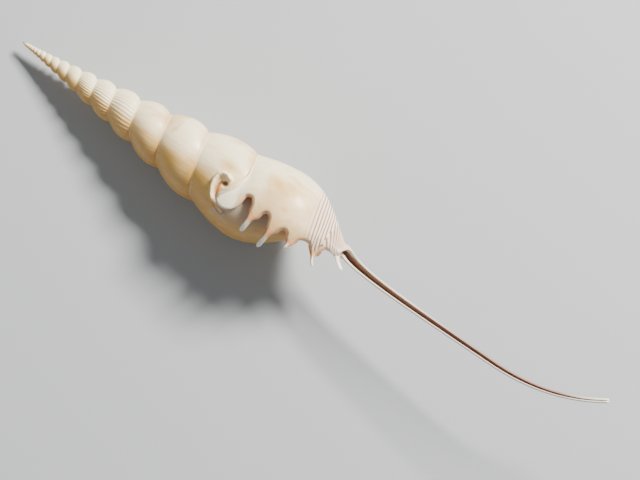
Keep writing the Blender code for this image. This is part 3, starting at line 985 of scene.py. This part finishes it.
    def draw_finger(self, row: int, tip: Vector, width: float) -> None:
        """Draws the rim between two coarse rows out into a round bowed finger.

        Args:
            row: The first of the two rows.
            tip: Where the finger ends.
            width: How wide it is, as a share of the widest one.
        """
        cap = self.finger_cap(row)
        verts = {v for f in cap for v in f.verts}
        root = sum((v.co for v in verts), Vector()) / len(verts)
        facing, wide = self.finger_directions(cap, tip - root)
        thick = facing.cross(wide)
        half_width = max(abs((v.co - root).dot(wide)) for v in verts)
        half_thickness = max(abs((v.co - root).dot(thick)) for v in verts)
        for v in verts:
            v[self.offset] = v.co - root
        middle = (root + tip) / 2
        outward = Vector((0, middle.y, middle.z)).normalized()
        pull = middle + outward * (2 * self.finger.bow)
        for share, radius in self.finger.stages:
            geometry = cap + list({e for f in cap for e in f.edges}) + list({v for f in cap for v in f.verts})
            made = bmesh.ops.extrude_face_region(self.mesh, geom=geometry)["geom"]
            stale = [f for f in cap if f.is_valid]
            if stale:
                bmesh.ops.delete(self.mesh, geom=stale, context="FACES")
            cap = [g for g in made if isinstance(g, bmesh.types.BMFace)]
            centre = root * (1 - share) ** 2 + pull * (2 * share * (1 - share)) + tip * share**2
            heading = ((pull - root) * (1 - share) + (tip - pull) * share).normalized()
            turn = facing.rotation_difference(heading)
            roundness = rise(share, (0.0, self.finger.round_by))
            for v in {v for f in cap for v in f.verts}:
                offset = v[self.offset]
                across = offset.dot(wide) / half_width
                deep = offset.dot(thick) / half_thickness
                span = max(math.hypot(across, deep), 1e-6)
                spread = width * radius * max(abs(across), abs(deep)) / span
                circle = (wide * across + thick * deep) * spread
                v.co = centre + turn @ offset.lerp(circle, roundness)
                v[self.reach] = share
                v[self.side] = across
                for face in v.link_faces:
                    face[self.region] = Region.FINGER
                    for loop in face.loops:
                        loop[self.spot].uv = (0.0, row)

    def soften_finger_roots(self, roots: list[Vector]) -> None:
        """Smooths the shell where the fingers grow out of the rim."""
        form = self.finger
        near = []
        for v in self.mesh.verts:
            low = v[self.reach] < form.root_reach
            if low and any((v.co - root).length < form.root_radius for root in roots):
                if any(f[self.region] in (Region.FINGER, Region.LIP_EDGE) for f in v.link_faces):
                    near.append(v)
        for _ in range(form.root_smoothing):
            bmesh.ops.smooth_vert(
                self.mesh, verts=near, factor=form.root_factor,
                use_axis_x=True, use_axis_y=True, use_axis_z=True,
            )

    def outer_spot(self, v: bmesh.types.BMVert) -> Spot | None:
        """The turn and row of a point of the outer surface, or None off it."""
        for loop in v.link_loops:
            if loop.face[self.region] in (Region.SPIRE, Region.BODY):
                return tuple(loop[self.spot].uv)
        return None

    def hook_place(self, co: Vector) -> Vector:
        """A point's place in the plane of the lip's outline."""
        return Vector((co.x, -co.y))

    def near_hook(self, spot: Spot, co: Vector) -> bool:
        """Whether a point of the outer surface is on the front of the whorl that carries the hook."""
        turn, row = spot
        first, last = self.hook.turns
        seam = self.growth.spire.rows
        if co.z <= 0 or row > seam + self.hook.rows_past_seam:
            return False
        return first < turn < last and (turn >= -1 or row < seam - self.hook.rows_before_seam)

    def refine_hook(self) -> None:
        """Divides the faces round the hook more finely and lays the new points on the surface."""
        near = []
        for face in self.mesh.faces:
            if face[self.region] not in (Region.SPIRE, Region.BODY):
                continue
            middle = face.calc_center_median()
            spots = [tuple(loop[self.spot].uv) for loop in face.loops]
            if not all(self.near_hook(spot, middle) for spot in spots):
                continue
            place = self.hook_place(middle)
            lines = (self.hook.ridge, self.hook.groove)
            if min(line_distance(line, place) for line in lines) < self.hook.reach:
                near.append(face)
        edges = list({e for f in near for e in f.edges})
        bmesh.ops.subdivide_edges(self.mesh, edges=edges, cuts=self.hook.cuts, use_grid_fill=True)
        for v in self.mesh.verts:
            spot = self.outer_spot(v)
            if spot is not None and self.near_hook(spot, v.co):
                v.co = self.growth.skin(*spot)
        log.info("refined %d faces round the hook", len(near))

    def height(self, spot: Spot, co: Vector) -> float:
        """How far the fine relief stands up at a point of the outer surface, in millimetres."""
        turn, row = spot
        growth, relief = self.growth, self.relief
        low = growth.spire.helix(turn)
        up = 0.0
        if turn < -1:
            share = growth.row_at(row).spire_share
            strength = relief.rib_strength(low)
            if strength > 0:
                up += strength * relief.rib_height * co.x * relief.rib_wave(turn, share)
            ends = rise(min(share, 1 - share), (0.0, relief.growth_ends))
        else:
            ends = rise(row, relief.growth_rows) * rise(co.x, relief.growth_canal)
        wave = noise.noise(Vector((turn * relief.growth_pitch, row * relief.growth_shear, 0.0)))
        up += relief.growth_height * wave * ends * rise(co.x, relief.growth_along)
        if self.near_hook(spot, co):
            up += self.hook.height(self.hook_place(co), growth.lip.lobe)
        return up

    def raise_relief(self) -> None:
        """Raises the ribs, the uneven growth and the hook on the outer surface."""
        self.mesh.normal_update()
        lifts = []
        for v in self.mesh.verts:
            spot = self.outer_spot(v)
            if spot is not None and v[self.reach] == 0.0:
                lifts.append((v, v.normal * self.height(spot, v.co)))
        for v, lift in lifts:
            v.co += lift

    def lip_shares(self, at: Corner) -> Shares:
        """The rim, the brown line on its edge, the white of the fingers, and the brown painted shade in the
        hollow under the lip.
        """
        marks, growth = self.marks, self.growth
        # hollow is brown painted shade under the lip, in the hollow behind it and on the whorl just under its
        # edge
        rim = edge = tip = hollow = 0.0
        if at.region == Region.LIP_EDGE:
            rim = ramp(at.turn, marks.edge_rim)
            edge = ramp(at.turn, (1 / growth.lip.rim_columns, 0.0))
        elif at.region == Region.LIP_INSIDE:
            rim = rise(at.turn, marks.inside_rim)
            hollow = rise(at.turn, marks.inside_hollow_shade)
        elif at.region == Region.WALL:
            hollow = rise(at.turn, marks.wall_hollow_shade)
        elif at.region == Region.HOLLOW_END:
            hollow = 1.0
        elif at.region == Region.FINGER:
            rim = rise(at.reach, marks.finger_rim)
            tip = rise(at.reach, marks.finger_tip)
            edge = rise(at.side, marks.finger_edge_side) * rise(at.reach, marks.finger_edge_reach)
        elif at.turn == 0.0:
            edge = 1.0
        elif at.turn >= -1:
            hollow = marks.shade * rise(at.turn, marks.shade_turns) * rise(at.row, marks.wall_rows)
        if edge > 0 and at.region != Region.FINGER:
            facing = growth.rim_facing(min(at.row, growth.lip_rows - 1.0))
            edge *= mix(marks.edge_least, 1.0, rise(facing.x, marks.edge_facing))
        chamber = 1 - growth.gutter_share(at.co.x)
        past_lobe = chamber * rise(at.row, marks.past_lobe_rows)
        return rim * past_lobe, edge * past_lobe, tip, hollow * chamber

    def hook_shares(self, at: Corner) -> Shares:
        """The hooked ridge, its groove, its pit, and the white lobe beside it; the groove's and the pit's shares
        carry painted shade.
        """
        ridge = groove = pit = lobe = 0.0
        place = self.hook_place(at.co)
        on_lip = (at.outer and at.turn > self.marks.lip_turn) or at.region == Region.LIP_EDGE
        if at.outer and self.near_hook((at.turn, at.row), at.co):
            ridge = self.hook.ridge_share(place)
            groove = self.hook.groove_share(place)
            pit = self.hook.pit_share(place)
        elif on_lip and at.row < len(self.growth.lip.lobe):
            # the groove's colour, partly painted shade, along the lobe's edge
            groove = self.hook.lobe_edge_shade_share(place)
        if on_lip and at.co.x < self.marks.lobe_along[0]:
            lobe = rise(line_distance(self.growth.lip.lobe, place), self.marks.lobe_distance)
            lobe *= rise(at.co.x, self.marks.lobe_along)
        return ridge, groove, pit, lobe

    def whorl_shares(self, at: Corner) -> Shares:
        """The tan strip before a suture, partly painted shade in its crease, the pale line after it, the late
        growth's stains, and the glossy wall.
        """
        if not at.outer:
            return 0.0, 0.0, 0.0, 1.0 if at.region == Region.WALL else 0.0
        marks = self.marks
        band = 0.0
        # tan before each suture: partly its own colour, partly painted shade in the suture's crease
        if at.row <= self.growth.spire.rows + ROW_SLACK:
            band = rise(at.row, marks.band_rows) * rise(at.turn, marks.band_turns)
        wall = rise(at.turn, marks.wall_turns) * rise(at.row, marks.wall_rows)
        wall *= 1 - self.growth.gutter_share(at.co.x)
        return band, rise(at.row, marks.suture_rows), rise(at.co.x, marks.stain_along), wall

    def base_shares(self, at: Corner) -> Shares:
        """The cords' place and strength, the blush towards the lip, and the orange patches."""
        if not at.outer:
            return 0.0, 0.0, 0.0, 0.0
        marks = self.marks
        place = at.co.x / self.growth.spire.helix(at.turn)
        blush = rise(at.turn, marks.blush_turns) * rise(at.co.x, marks.blush_along)
        if at.turn > marks.base_turn:
            blush = max(blush, rise(at.co.x, marks.base_along))
        patch = marks.patch_strength(self.hook_place(at.co)) if at.co.z > 0 else 0.0
        return place, marks.cord_strength(at.turn, place), blush, patch

    def canal_shares(self, at: Corner) -> Shares:
        """The canal, the tone of its gutter with its painted shade line, its inside, and how far it is towards
        its end.
        """
        marks = self.marks
        gutter = inner = 0.0
        if at.region == Region.LIP_INSIDE:
            gutter = marks.gutter_middle * rise(at.turn, (0.0, self.growth.hollow_steps))
            inner = rise(at.turn, marks.gutter_inside)
        elif at.region == Region.WALL:
            gutter = rise(at.turn, marks.gutter_wall)
            inner = rise(at.turn, marks.gutter_wall_inside)
        elif at.region == Region.HOLLOW_END:
            gutter = mix(marks.gutter_middle, 1.0, rise(at.turn, marks.gutter_floor))
            inner = 1.0
        canal = rise(at.co.x, marks.canal_along)
        return canal, gutter, inner * canal, ramp(at.co.x, marks.canal_end)

    def flank_shade_and_canal_tint_shares(self, at: Corner) -> Shares:
        """The painted shade, strongest on the left flank, and the tint of the canal's upper side."""
        marks, canal = self.marks, self.growth.canal
        across = Vector((at.co.y, at.co.z)).normalized()
        upper = 0.0
        if at.co.x > marks.canal_along[0]:
            radius = canal.radius(at.co.x)
            upper = rise(at.co.y - canal.centre(at.co.x), (-radius / 2, radius / 2))
        # painted shade: one flank laid darker as the light falls on it, the other paler
        flank_shade = smooth(marks.flank_shade - marks.flank_shade_left * across.x + marks.flank_shade_up * across.y)
        return flank_shade, upper, 0.0, 0.0

    def paint_masks(self) -> None:
        """Writes the finishes' shares on every corner."""
        painters = {
            Masks.LIP: self.lip_shares,
            Masks.HOOK: self.hook_shares,
            Masks.WHORL: self.whorl_shares,
            Masks.BASE: self.base_shares,
            Masks.CANAL: self.canal_shares,
            Masks.WEAR: self.flank_shade_and_canal_tint_shares,
        }
        for face in self.mesh.faces:
            region = Region(face[self.region])
            for loop in face.loops:
                turn, row = loop[self.spot].uv
                v = loop.vert
                at = Corner(region, turn, row, v.co, v[self.reach], v[self.side])
                for name, painter in painters.items():
                    loop[self.masks[name]] = painter(at)

    def lay_down(self) -> None:
        """Rolls and pitches the shell into its resting pose, stands it on Z 0 and centres it, in metres."""
        pitch = Matrix.Rotation(math.radians(-self.pitch_degrees), 4, "Y")
        roll = Matrix.Rotation(math.radians(self.roll_degrees), 4, "X")
        pose = Matrix.Scale(MM, 4) @ pitch @ roll
        bmesh.ops.transform(self.mesh, matrix=pose, verts=self.mesh.verts[:])
        lows = [min(v.co[axis] for v in self.mesh.verts) for axis in range(3)]
        highs = [max(v.co[axis] for v in self.mesh.verts) for axis in range(3)]
        middle = Vector(((lows[0] + highs[0]) / 2, (lows[1] + highs[1]) / 2, lows[2]))
        bmesh.ops.translate(self.mesh, vec=-middle, verts=self.mesh.verts[:])
        self.placement = Matrix.Translation(-middle) @ pose

    def build(self) -> bpy.types.Object:
        """Makes the shell's object.

        Returns:
            The object, riding on the part's body in place of its node.
        """
        self.lay_patches()
        self.close_ends()
        self.refine_hook()
        self.raise_relief()
        lip = self.growth.lip
        roots = []
        for row, tip, width in zip(lip.finger_rows(), lip.tips, lip.finger_widths):
            roots.append(self.growth.lip_edge_point(0.5, row + 0.5))
            self.draw_finger(row, Vector(tip), width)
        self.soften_finger_roots(roots)
        bmesh.ops.triangulate(self.mesh, faces=[f for f in self.mesh.faces if len(f.verts) > 4])
        bmesh.ops.recalc_face_normals(self.mesh, faces=self.mesh.faces[:])
        self.paint_masks()
        self.lay_down()
        data = bpy.data.meshes.new("tibia_shell")
        self.mesh.to_mesh(data)
        self.mesh.free()
        data.shade_smooth()
        piece = bpy.data.objects.new("tibia_shell", data)
        bpy.context.scene.collection.objects.link(piece)
        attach(piece, "root")
        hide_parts(NODE)
        return piece


class Wire:
    """A node's output, so that shader maths on numbers can be written as an expression."""

    def __init__(self, graph: "Graph", socket: bpy.types.NodeSocket) -> None:
        """Keeps the socket and the graph that it is in."""
        self.graph = graph
        self.socket = socket

    def _with(self, operation: str, *values: "Wire | float") -> "Wire":
        """A Math node on this wire and others."""
        return self.graph.node("ShaderNodeMath", {"operation": operation}, dict(enumerate(values)))

    def __add__(self, other: "Wire | float") -> "Wire":
        """This plus other."""
        return self._with("ADD", self, other)

    __radd__ = __add__

    def __sub__(self, other: "Wire | float") -> "Wire":
        """This less other."""
        return self._with("SUBTRACT", self, other)

    def __rsub__(self, other: float) -> "Wire":
        """Other less this."""
        return self._with("SUBTRACT", other, self)

    def __mul__(self, other: "Wire | float") -> "Wire":
        """This times other."""
        return self._with("MULTIPLY", self, other)

    __rmul__ = __mul__

    def clamp(self) -> "Wire":
        """This held between 0 and 1."""
        return self.graph.node("ShaderNodeClamp", {}, {"Value": self})


class Pattern(NamedTuple):
    """A noise pattern: how often it changes in each direction, and the noise's detail and distortion."""

    scale: tuple[float, float, float]
    detail: float
    distortion: float = 0.0


class Graph:
    """A material's nodes, with one method that adds any node."""

    def __init__(self, material: bpy.types.Material) -> None:
        """Starts from the material's own shader."""
        material.use_nodes = True
        self.tree = material.node_tree
        self.shader = self.tree.nodes["Principled BSDF"]

    def node(
        self, kind: str, settings: dict[str, Any], inputs: dict[str | int, Any], output: str | int = 0,
    ) -> Wire:
        """Adds a node.

        Args:
            kind: The node's type.
            settings: Its settings, which are set first.
            inputs: The values or wires of its inputs.
            output: Which of its outputs to give back.

        Returns:
            That output.
        """
        made = self.tree.nodes.new(kind)
        for name, value in settings.items():
            setattr(made, name, value)
        for name, value in inputs.items():
            self.set(made.inputs[name], value)
        return Wire(self, made.outputs[output])

    def set(self, socket: bpy.types.NodeSocket, value: Any) -> None:
        """Links a wire to a socket, or sets the socket's own value."""
        if isinstance(value, Wire):
            self.tree.links.new(value.socket, socket)
        elif isinstance(value, tuple) and socket.type == "RGBA":
            socket.default_value = (*value, 1.0)
        else:
            socket.default_value = value

    def rise(self, value: Wire, span: Span) -> Wire:
        """A smooth rise from 0 at a span's first end to 1 at its other end."""
        inputs = {"Value": value, "From Min": span[0], "From Max": span[1]}
        return self.node("ShaderNodeMapRange", {"interpolation_type": "SMOOTHSTEP"}, inputs)

    def between(self, span: Span, share: Wire) -> Wire:
        """The value a share of the way along a span."""
        return span[0] + (span[1] - span[0]) * share

    def blend(self, share: Wire, under: Wire | Colour, over: Wire | Colour) -> Wire:
        """One colour laid over another by a share, which the node holds between 0 and 1."""
        return self.node("ShaderNodeMix", {"data_type": "RGBA"}, {0: share, 6: under, 7: over}, 2)

    def noise(self, place: Wire, pattern: Pattern) -> Wire:
        """Noise between 0 and 1 at a place."""
        scaled = self.node("ShaderNodeVectorMath", {"operation": "MULTIPLY"}, {0: place, 1: pattern.scale})
        inputs = {"Vector": scaled, "Scale": 1.0, "Detail": pattern.detail, "Distortion": pattern.distortion}
        return self.node("ShaderNodeTexNoise", {}, inputs)

    def wave(self, turns: Wire) -> Wire:
        """A wave between 0 and 1 that comes round once for every 1 of turns."""
        sine = self.node("ShaderNodeMath", {"operation": "SINE"}, {0: turns * math.tau})
        return 0.5 + 0.5 * sine

    def shares(self, name: Masks) -> tuple[Wire, Wire, Wire, Wire]:
        """The four shares of one of the mesh's attributes."""
        attribute = {"attribute_type": "GEOMETRY", "attribute_name": name.value}
        colour = self.node("ShaderNodeAttribute", attribute, {}, "Color")
        parts = [self.node("ShaderNodeSeparateColor", {}, {"Color": colour}, n) for n in range(3)]
        return (*parts, self.node("ShaderNodeAttribute", attribute, {}, "Alpha"))


class Marks:
    """The wires of the mesh's attributes and of the patterns that follow the growth."""

    def __init__(self, graph: Graph) -> None:
        """Adds the nodes that read the attributes and make the patterns."""
        # hollow carries the brown painted shade under the lip
        self.rim, self.edge, self.tip, self.hollow = graph.shares(Masks.LIP)
        # the groove is partly and the pit wholly painted shade
        self.ridge, self.groove, self.pit, self.lobe = graph.shares(Masks.HOOK)
        # the tan before each suture is partly painted shade in its crease
        self.band, self.suture, self.stain, self.wall = graph.shares(Masks.WHORL)
        self.cord_place, self.cords, self.blush, self.patch = graph.shares(Masks.BASE)
        self.canal, self.gutter, self.inner, self.canal_end = graph.shares(Masks.CANAL)
        # painted flank shade, and the tint of the canal's upper side
        self.flank_shade, self.upper = graph.shares(Masks.WEAR)[:2]
        growth = graph.node("ShaderNodeUVMap", {"uv_map": GROWTH_MAP}, {})
        body = graph.node("ShaderNodeTexCoord", {}, {}, "Object")
        self.streaks = graph.noise(growth, Pattern((170.0, 0.6, 1.0), detail=3.0, distortion=0.3))
        self.lines = graph.noise(growth, Pattern((60.0, 0.3, 1.0), detail=4.0, distortion=0.2))
        self.bands = graph.noise(growth, Pattern((17.0, 0.3, 1.0), detail=2.0, distortion=0.6))
        self.blotches = graph.noise(body, Pattern((62.0, 62.0, 62.0), detail=3.0, distortion=0.6))
        self.clouds = graph.noise(body, Pattern((150.0, 150.0, 150.0), detail=2.0))
        self.grain = graph.noise(body, Pattern((2600.0, 2600.0, 2600.0), detail=2.0))


@dataclass(frozen=True)
class ShellFinish:
    """The shell's glossy surface: ivory and tan with painted shade on the left flank, a peach lip, brown painted
    shade in the hollow, and a brown gutter with a painted shade line.

    An "over" span is where a pattern starts and where it is full, and "shares" run from its least to its most.
    """

    ivory: Colour = (0.86, 0.60, 0.24)
    cream: Colour = (0.97, 0.86, 0.60)
    tan: Colour = (0.60, 0.30, 0.07)
    straw: Colour = (0.54, 0.31, 0.08)
    umber: Colour = (0.36, 0.19, 0.08)
    orange: Colour = (0.66, 0.39, 0.07)
    peach: Colour = (0.82, 0.52, 0.28)
    porcelain: Colour = (1.0, 0.92, 0.74)
    lilac_grey: Colour = (0.46, 0.39, 0.34)
    cord_brown: Colour = (0.36, 0.13, 0.06)
    cord_white: Colour = (0.96, 0.90, 0.82)
    rim_peach: Colour = (0.80, 0.34, 0.17)
    edge_brown: Colour = (0.34, 0.15, 0.07)
    # brown painted shade in the hollow under the lip
    hollow_shade_brown: Colour = (0.34, 0.17, 0.09)
    # orange-brown of the groove, partly painted shade in it
    groove_orange_and_shade: Colour = (0.58, 0.26, 0.09)
    # painted shadow in the pit
    pit_shadow_brown: Colour = (0.12, 0.07, 0.03)
    canal_white: Colour = (0.80, 0.74, 0.68)
    gutter_pink: Colour = (0.62, 0.47, 0.38)
    gutter_orange: Colour = (0.36, 0.21, 0.13)
    # painted shade along the gutter's bottom
    gutter_shade_line: Colour = (0.17, 0.08, 0.05)
    canal_tan: Colour = (0.25, 0.11, 0.07)
    tip_white: Colour = (0.96, 0.93, 0.86)
    cords_per_share: float = 78.0
    ivory_clouds: float = 0.3
    # these spans lay ivory and straw by the painted flank shade, with clouds and bands of real tone mixed in
    ivory_over: Span = (0.15, 0.75)
    straw_bands: float = 0.5
    straw_over: Span = (0.6, 1.3)
    straw_share: float = 0.85
    blotches_over: Span = (0.5, 0.7)
    blotch_shares: Span = (0.25, 0.65)
    # tan before each suture, partly painted shade in its crease
    band_shares: Span = (0.1, 0.6)
    lines_over: Span = (0.48, 0.68)
    line_shares: Span = (0.22, 0.82)
    streaks_over: Span = (0.5, 0.75)
    streak_shares: Span = (0.1, 0.6)
    suture_share: float = 0.9
    patch_shares: Span = (0.5, 1.1)
    blush_share: float = 0.5
    cord_white_share: float = 0.85
    wall_share: float = 0.8
    lobe_share: float = 0.9
    ridge_over: Span = (0.3, 0.8)
    ridge_share: float = 0.85
    groove_shade_over: Span = (0.15, 0.8)
    pit_shadow_over: Span = (0.1, 0.7)
    canal_share: float = 0.85
    faded_over: Span = (0.0, 0.5)
    upper_shares: Span = (0.25, 0.9)
    orange_over: Span = (0.0, 0.4)
    gutter_fade: float = 0.7
    shade_line_over: Span = (0.5, 0.9)
    shade_line_shares: Span = (1.0, 0.4)
    end_over: Span = (0.8, 1.0)
    end_share: float = 0.8
    rim_share: float = 0.85
    white_share: float = 0.95
    hollow_shade_share: float = 0.95
    edge_over: Span = (0.45, 1.0)
    edge_share: float = 0.6
    dullness: float = 0.38
    dull_streaks: float = 0.1
    dull_clouds: float = 0.1
    clouds_over: Span = (0.4, 0.7)
    gloss: float = 0.16
    streak_bump: float = 0.6
    line_bump: float = 0.5
    grain_bump: float = 0.12
    cord_bump: float = 0.8
    bump_strength: float = 0.4
    bump_distance: float = 0.00012
    coat: float = 0.15
    coat_roughness: float = 0.2
    depth: float = 0.05
    depth_radius: Colour = (0.0014, 0.0008, 0.0004)

    def whorl_colour(self, graph: Graph, marks: Marks) -> Wire:
        """Ivory and cream with straw, laid on by the painted shade of the left flank, stained tan along the
        growth, with pale sutures.
        """
        # painted shade: cream turns ivory and then straw towards the left flank
        ivory = graph.rise(marks.flank_shade + self.ivory_clouds * marks.clouds, self.ivory_over)
        colour = graph.blend(ivory, self.cream, self.ivory)
        flank_shade_and_bands = graph.rise(marks.flank_shade + self.straw_bands * marks.bands, self.straw_over)
        colour = graph.blend(flank_shade_and_bands * self.straw_share, colour, self.straw)
        # the late growth's lines and streaks are laid stronger on the flank with painted shade
        late = marks.stain * marks.flank_shade
        blotches = graph.rise(marks.blotches, self.blotches_over)
        lines = graph.rise(marks.lines, self.lines_over)
        streaks = graph.rise(marks.streaks, self.streaks_over)
        stains = (
            (self.tan, blotches * graph.between(self.blotch_shares, marks.stain)),
            # tan before each suture, partly painted shade in its crease
            (self.tan, marks.band * graph.between(self.band_shares, marks.stain)),
            (self.tan, lines * graph.between(self.line_shares, late)),
            (self.umber, streaks * graph.between(self.streak_shares, late)),
            (self.cream, marks.suture * self.suture_share),
        )
        for stain, share in stains:
            colour = graph.blend(share, colour, stain)
        return colour

    def base_colour(self, graph: Graph, marks: Marks, under: Wire) -> Wire:
        """The orange patches, the blush towards the lip, the cords on the base, and the glossy wall."""
        colour = graph.blend(marks.patch * graph.between(self.patch_shares, marks.lines), under, self.orange)
        colour = graph.blend(marks.blush * self.blush_share, colour, self.peach)
        wave = graph.wave(marks.cord_place * self.cords_per_share)
        colour = graph.blend(marks.cords * wave, colour, self.cord_brown)
        colour = graph.blend(marks.cords * (1.0 - wave) * self.cord_white_share, colour, self.cord_white)
        return graph.blend(marks.wall * self.wall_share, colour, self.lilac_grey)

    def hook_colour(self, graph: Graph, marks: Marks, under: Wire) -> Wire:
        """The white lobe, and the cream ridge round its orange groove, partly painted shade, and its pit, painted
        near black as shadow.
        """
        colour = graph.blend(marks.lobe * self.lobe_share, under, self.porcelain)
        colour = graph.blend(graph.rise(marks.ridge, self.ridge_over) * self.ridge_share, colour, self.cream)
        colour = graph.blend(graph.rise(marks.groove, self.groove_shade_over), colour, self.groove_orange_and_shade)
        return graph.blend(graph.rise(marks.pit, self.pit_shadow_over), colour, self.pit_shadow_brown)

    def canal_colour(self, graph: Graph, marks: Marks, under: Wire) -> Wire:
        """The pale canal, brown inside, with a line of painted shade along its bottom that fades to the end."""
        faded = graph.rise(marks.canal_end, self.faded_over)
        colour = graph.blend(marks.canal * self.canal_share, under, self.canal_white)
        colour = graph.blend(marks.upper * graph.between(self.upper_shares, faded), colour, self.canal_tan)
        tone = graph.blend(graph.rise(marks.gutter, self.orange_over), self.gutter_pink, self.gutter_orange)
        tone = graph.blend(faded * self.gutter_fade, tone, self.canal_tan)
        # painted shade along the gutter's deep bottom
        dark = graph.rise(marks.gutter, self.shade_line_over) * graph.between(self.shade_line_shares, faded)
        colour = graph.blend(marks.inner, colour, graph.blend(dark, tone, self.gutter_shade_line))
        return graph.blend(graph.rise(marks.canal_end, self.end_over) * self.end_share, colour, self.tip_white)

    def lip_colour(self, graph: Graph, marks: Marks, under: Wire) -> Wire:
        """The peach rim with its brown edge, the brown painted shade in the hollow behind it, and the white
        fingers.
        """
        colour = graph.blend(marks.rim * self.rim_share, under, self.rim_peach)
        colour = graph.blend(marks.hollow * self.hollow_shade_share, colour, self.hollow_shade_brown)
        colour = graph.blend(marks.tip * self.white_share, colour, self.tip_white)
        return graph.blend(graph.rise(marks.edge, self.edge_over) * self.edge_share, colour, self.edge_brown)

    def set_surface(self, graph: Graph, marks: Marks) -> None:
        """Sets the gloss and the fine bumps."""
        inputs = graph.shader.inputs
        clouds = graph.rise(marks.clouds, self.clouds_over)
        dull = self.dullness + self.dull_streaks * marks.streaks + self.dull_clouds * clouds
        glossy = (marks.lobe + marks.wall + marks.rim + marks.hollow).clamp()
        graph.set(inputs["Roughness"], dull - self.gloss * glossy)
        cords = marks.cords * graph.wave(marks.cord_place * self.cords_per_share)
        growth = marks.streaks * self.streak_bump + marks.lines * self.line_bump
        height = growth + marks.grain * self.grain_bump - cords * self.cord_bump
        bump = {"Strength": self.bump_strength, "Distance": self.bump_distance, "Height": height}
        graph.set(inputs["Normal"], graph.node("ShaderNodeBump", {}, bump))
        inputs["Coat Weight"].default_value = self.coat
        inputs["Coat Roughness"].default_value = self.coat_roughness
        inputs["Subsurface Weight"].default_value = self.depth
        inputs["Subsurface Radius"].default_value = self.depth_radius
        inputs["Subsurface Scale"].default_value = 1.0

    def material(self) -> bpy.types.Material:
        """Makes the material.

        Returns:
            The material, with every node in place.
        """
        made = bpy.data.materials.new("shell_surface")
        graph = Graph(made)
        marks = Marks(graph)
        colour = self.whorl_colour(graph, marks)
        colour = self.base_colour(graph, marks, colour)
        colour = self.hook_colour(graph, marks, colour)
        colour = self.canal_colour(graph, marks, colour)
        colour = self.lip_colour(graph, marks, colour)
        graph.set(graph.shader.inputs["Base Color"], colour)
        self.set_surface(graph, marks)
        return made


@dataclass(frozen=True)
class SoftLight:
    """A soft square light that faces the shell, its direction as right of, up from and towards the camera."""

    name: str
    direction: tuple[float, float, float]
    distance: float
    size: float
    power: float
    colour: Colour

    def add(self, camera: bpy.types.Object) -> None:
        """Adds the light.

        Args:
            camera: The camera that its direction refers to.
        """
        data = bpy.data.lights.new(self.name, "AREA")
        data.size = self.size
        data.energy = self.power
        data.color = self.colour
        towards = (camera.matrix_world.to_3x3() @ Vector(self.direction)).normalized()
        light = bpy.data.objects.new(self.name, data)
        light.matrix_world = towards.to_track_quat("Z", "Y").to_matrix().to_4x4()
        light.matrix_world.translation = towards * self.distance
        bpy.context.scene.collection.objects.link(light)


@dataclass(frozen=True)
class Studio:
    """A plain pale floor, soft studio light, and a camera at the photograph's viewing angle.

    The camera's place and directions are in the shell's own frame, in millimetres.
    """

    camera_at: tuple[float, float, float] = (294.3, 0.4, 1155.3)
    looking: tuple[float, float, float] = (-0.1483, 0.0009, -0.9889)
    up: tuple[float, float, float] = (-0.5582, 0.8254, 0.0844)
    lens: float = 200.0
    sensor: float = 36.0
    nearest: float = 0.05
    farthest: float = 20.0
    floor_size: float = 8.0
    floor_colour: Colour = (0.39, 0.42, 0.46)
    floor_roughness: float = 0.8
    sky_colour: Colour = (0.94, 0.97, 1.0)
    sky_strength: float = 0.22
    lights: tuple[SoftLight, ...] = (
        SoftLight("key", (0.86, 0.80, 0.80), 1.1, 0.28, 46.0, (1.0, 0.95, 0.85)),
        SoftLight("fill", (-0.75, -0.45, 0.9), 1.4, 0.9, 4.0, (1.0, 0.93, 0.82)),
    )

    def add_camera(self, placement: Matrix) -> bpy.types.Object:
        """Adds the camera.

        Args:
            placement: What takes the shell's frame to the scene's.

        Returns:
            The camera's object.
        """
        back = -Vector(self.looking).normalized()
        right = Vector(self.up).cross(back).normalized()
        up = back.cross(right)
        turned = Matrix((right, up, back)).transposed()
        pose = placement.to_3x3().normalized() @ turned
        data = bpy.data.cameras.new("camera")
        data.lens = self.lens
        data.sensor_width = self.sensor
        data.clip_start = self.nearest
        data.clip_end = self.farthest
        camera = bpy.data.objects.new("camera", data)
        camera.matrix_world = Matrix.Translation(placement @ Vector(self.camera_at)) @ pose.to_4x4()
        bpy.context.scene.collection.objects.link(camera)
        bpy.context.scene.camera = camera
        return camera

    def add_floor(self) -> None:
        """Adds the pale floor under the shell."""
        mesh = bmesh.new()
        bmesh.ops.create_grid(mesh, x_segments=1, y_segments=1, size=self.floor_size / 2)
        data = bpy.data.meshes.new("floor")
        mesh.to_mesh(data)
        mesh.free()
        material = bpy.data.materials.new("floor_surface")
        graph = Graph(material)
        graph.shader.inputs["Base Color"].default_value = (*self.floor_colour, 1.0)
        graph.shader.inputs["Roughness"].default_value = self.floor_roughness
        data.materials.append(material)
        floor = bpy.data.objects.new("floor", data)
        bpy.context.scene.collection.objects.link(floor)

    def add_sky(self) -> None:
        """Adds the even light all round."""
        world = bpy.data.worlds.new("sky")
        world.use_nodes = True
        background = world.node_tree.nodes["Background"]
        background.inputs["Color"].default_value = (*self.sky_colour, 1.0)
        background.inputs["Strength"].default_value = self.sky_strength
        bpy.context.scene.world = world

    def build(self, placement: Matrix) -> None:
        """Sets the whole studio up round the shell."""
        camera = self.add_camera(placement)
        self.add_floor()
        self.add_sky()
        for light in self.lights:
            light.add(camera)


def main() -> None:
    """Builds the shell, dresses it and sets up the studio."""
    logging.basicConfig(level=logging.INFO, format="%(name)s: %(message)s")
    shell = ShellPiece()
    piece = shell.build()
    piece.data.materials.append(ShellFinish().material())
    log.info("shell: %d faces", len(piece.data.polygons))
    Studio().build(shell.placement)


if __name__ == "__main__":
    main()
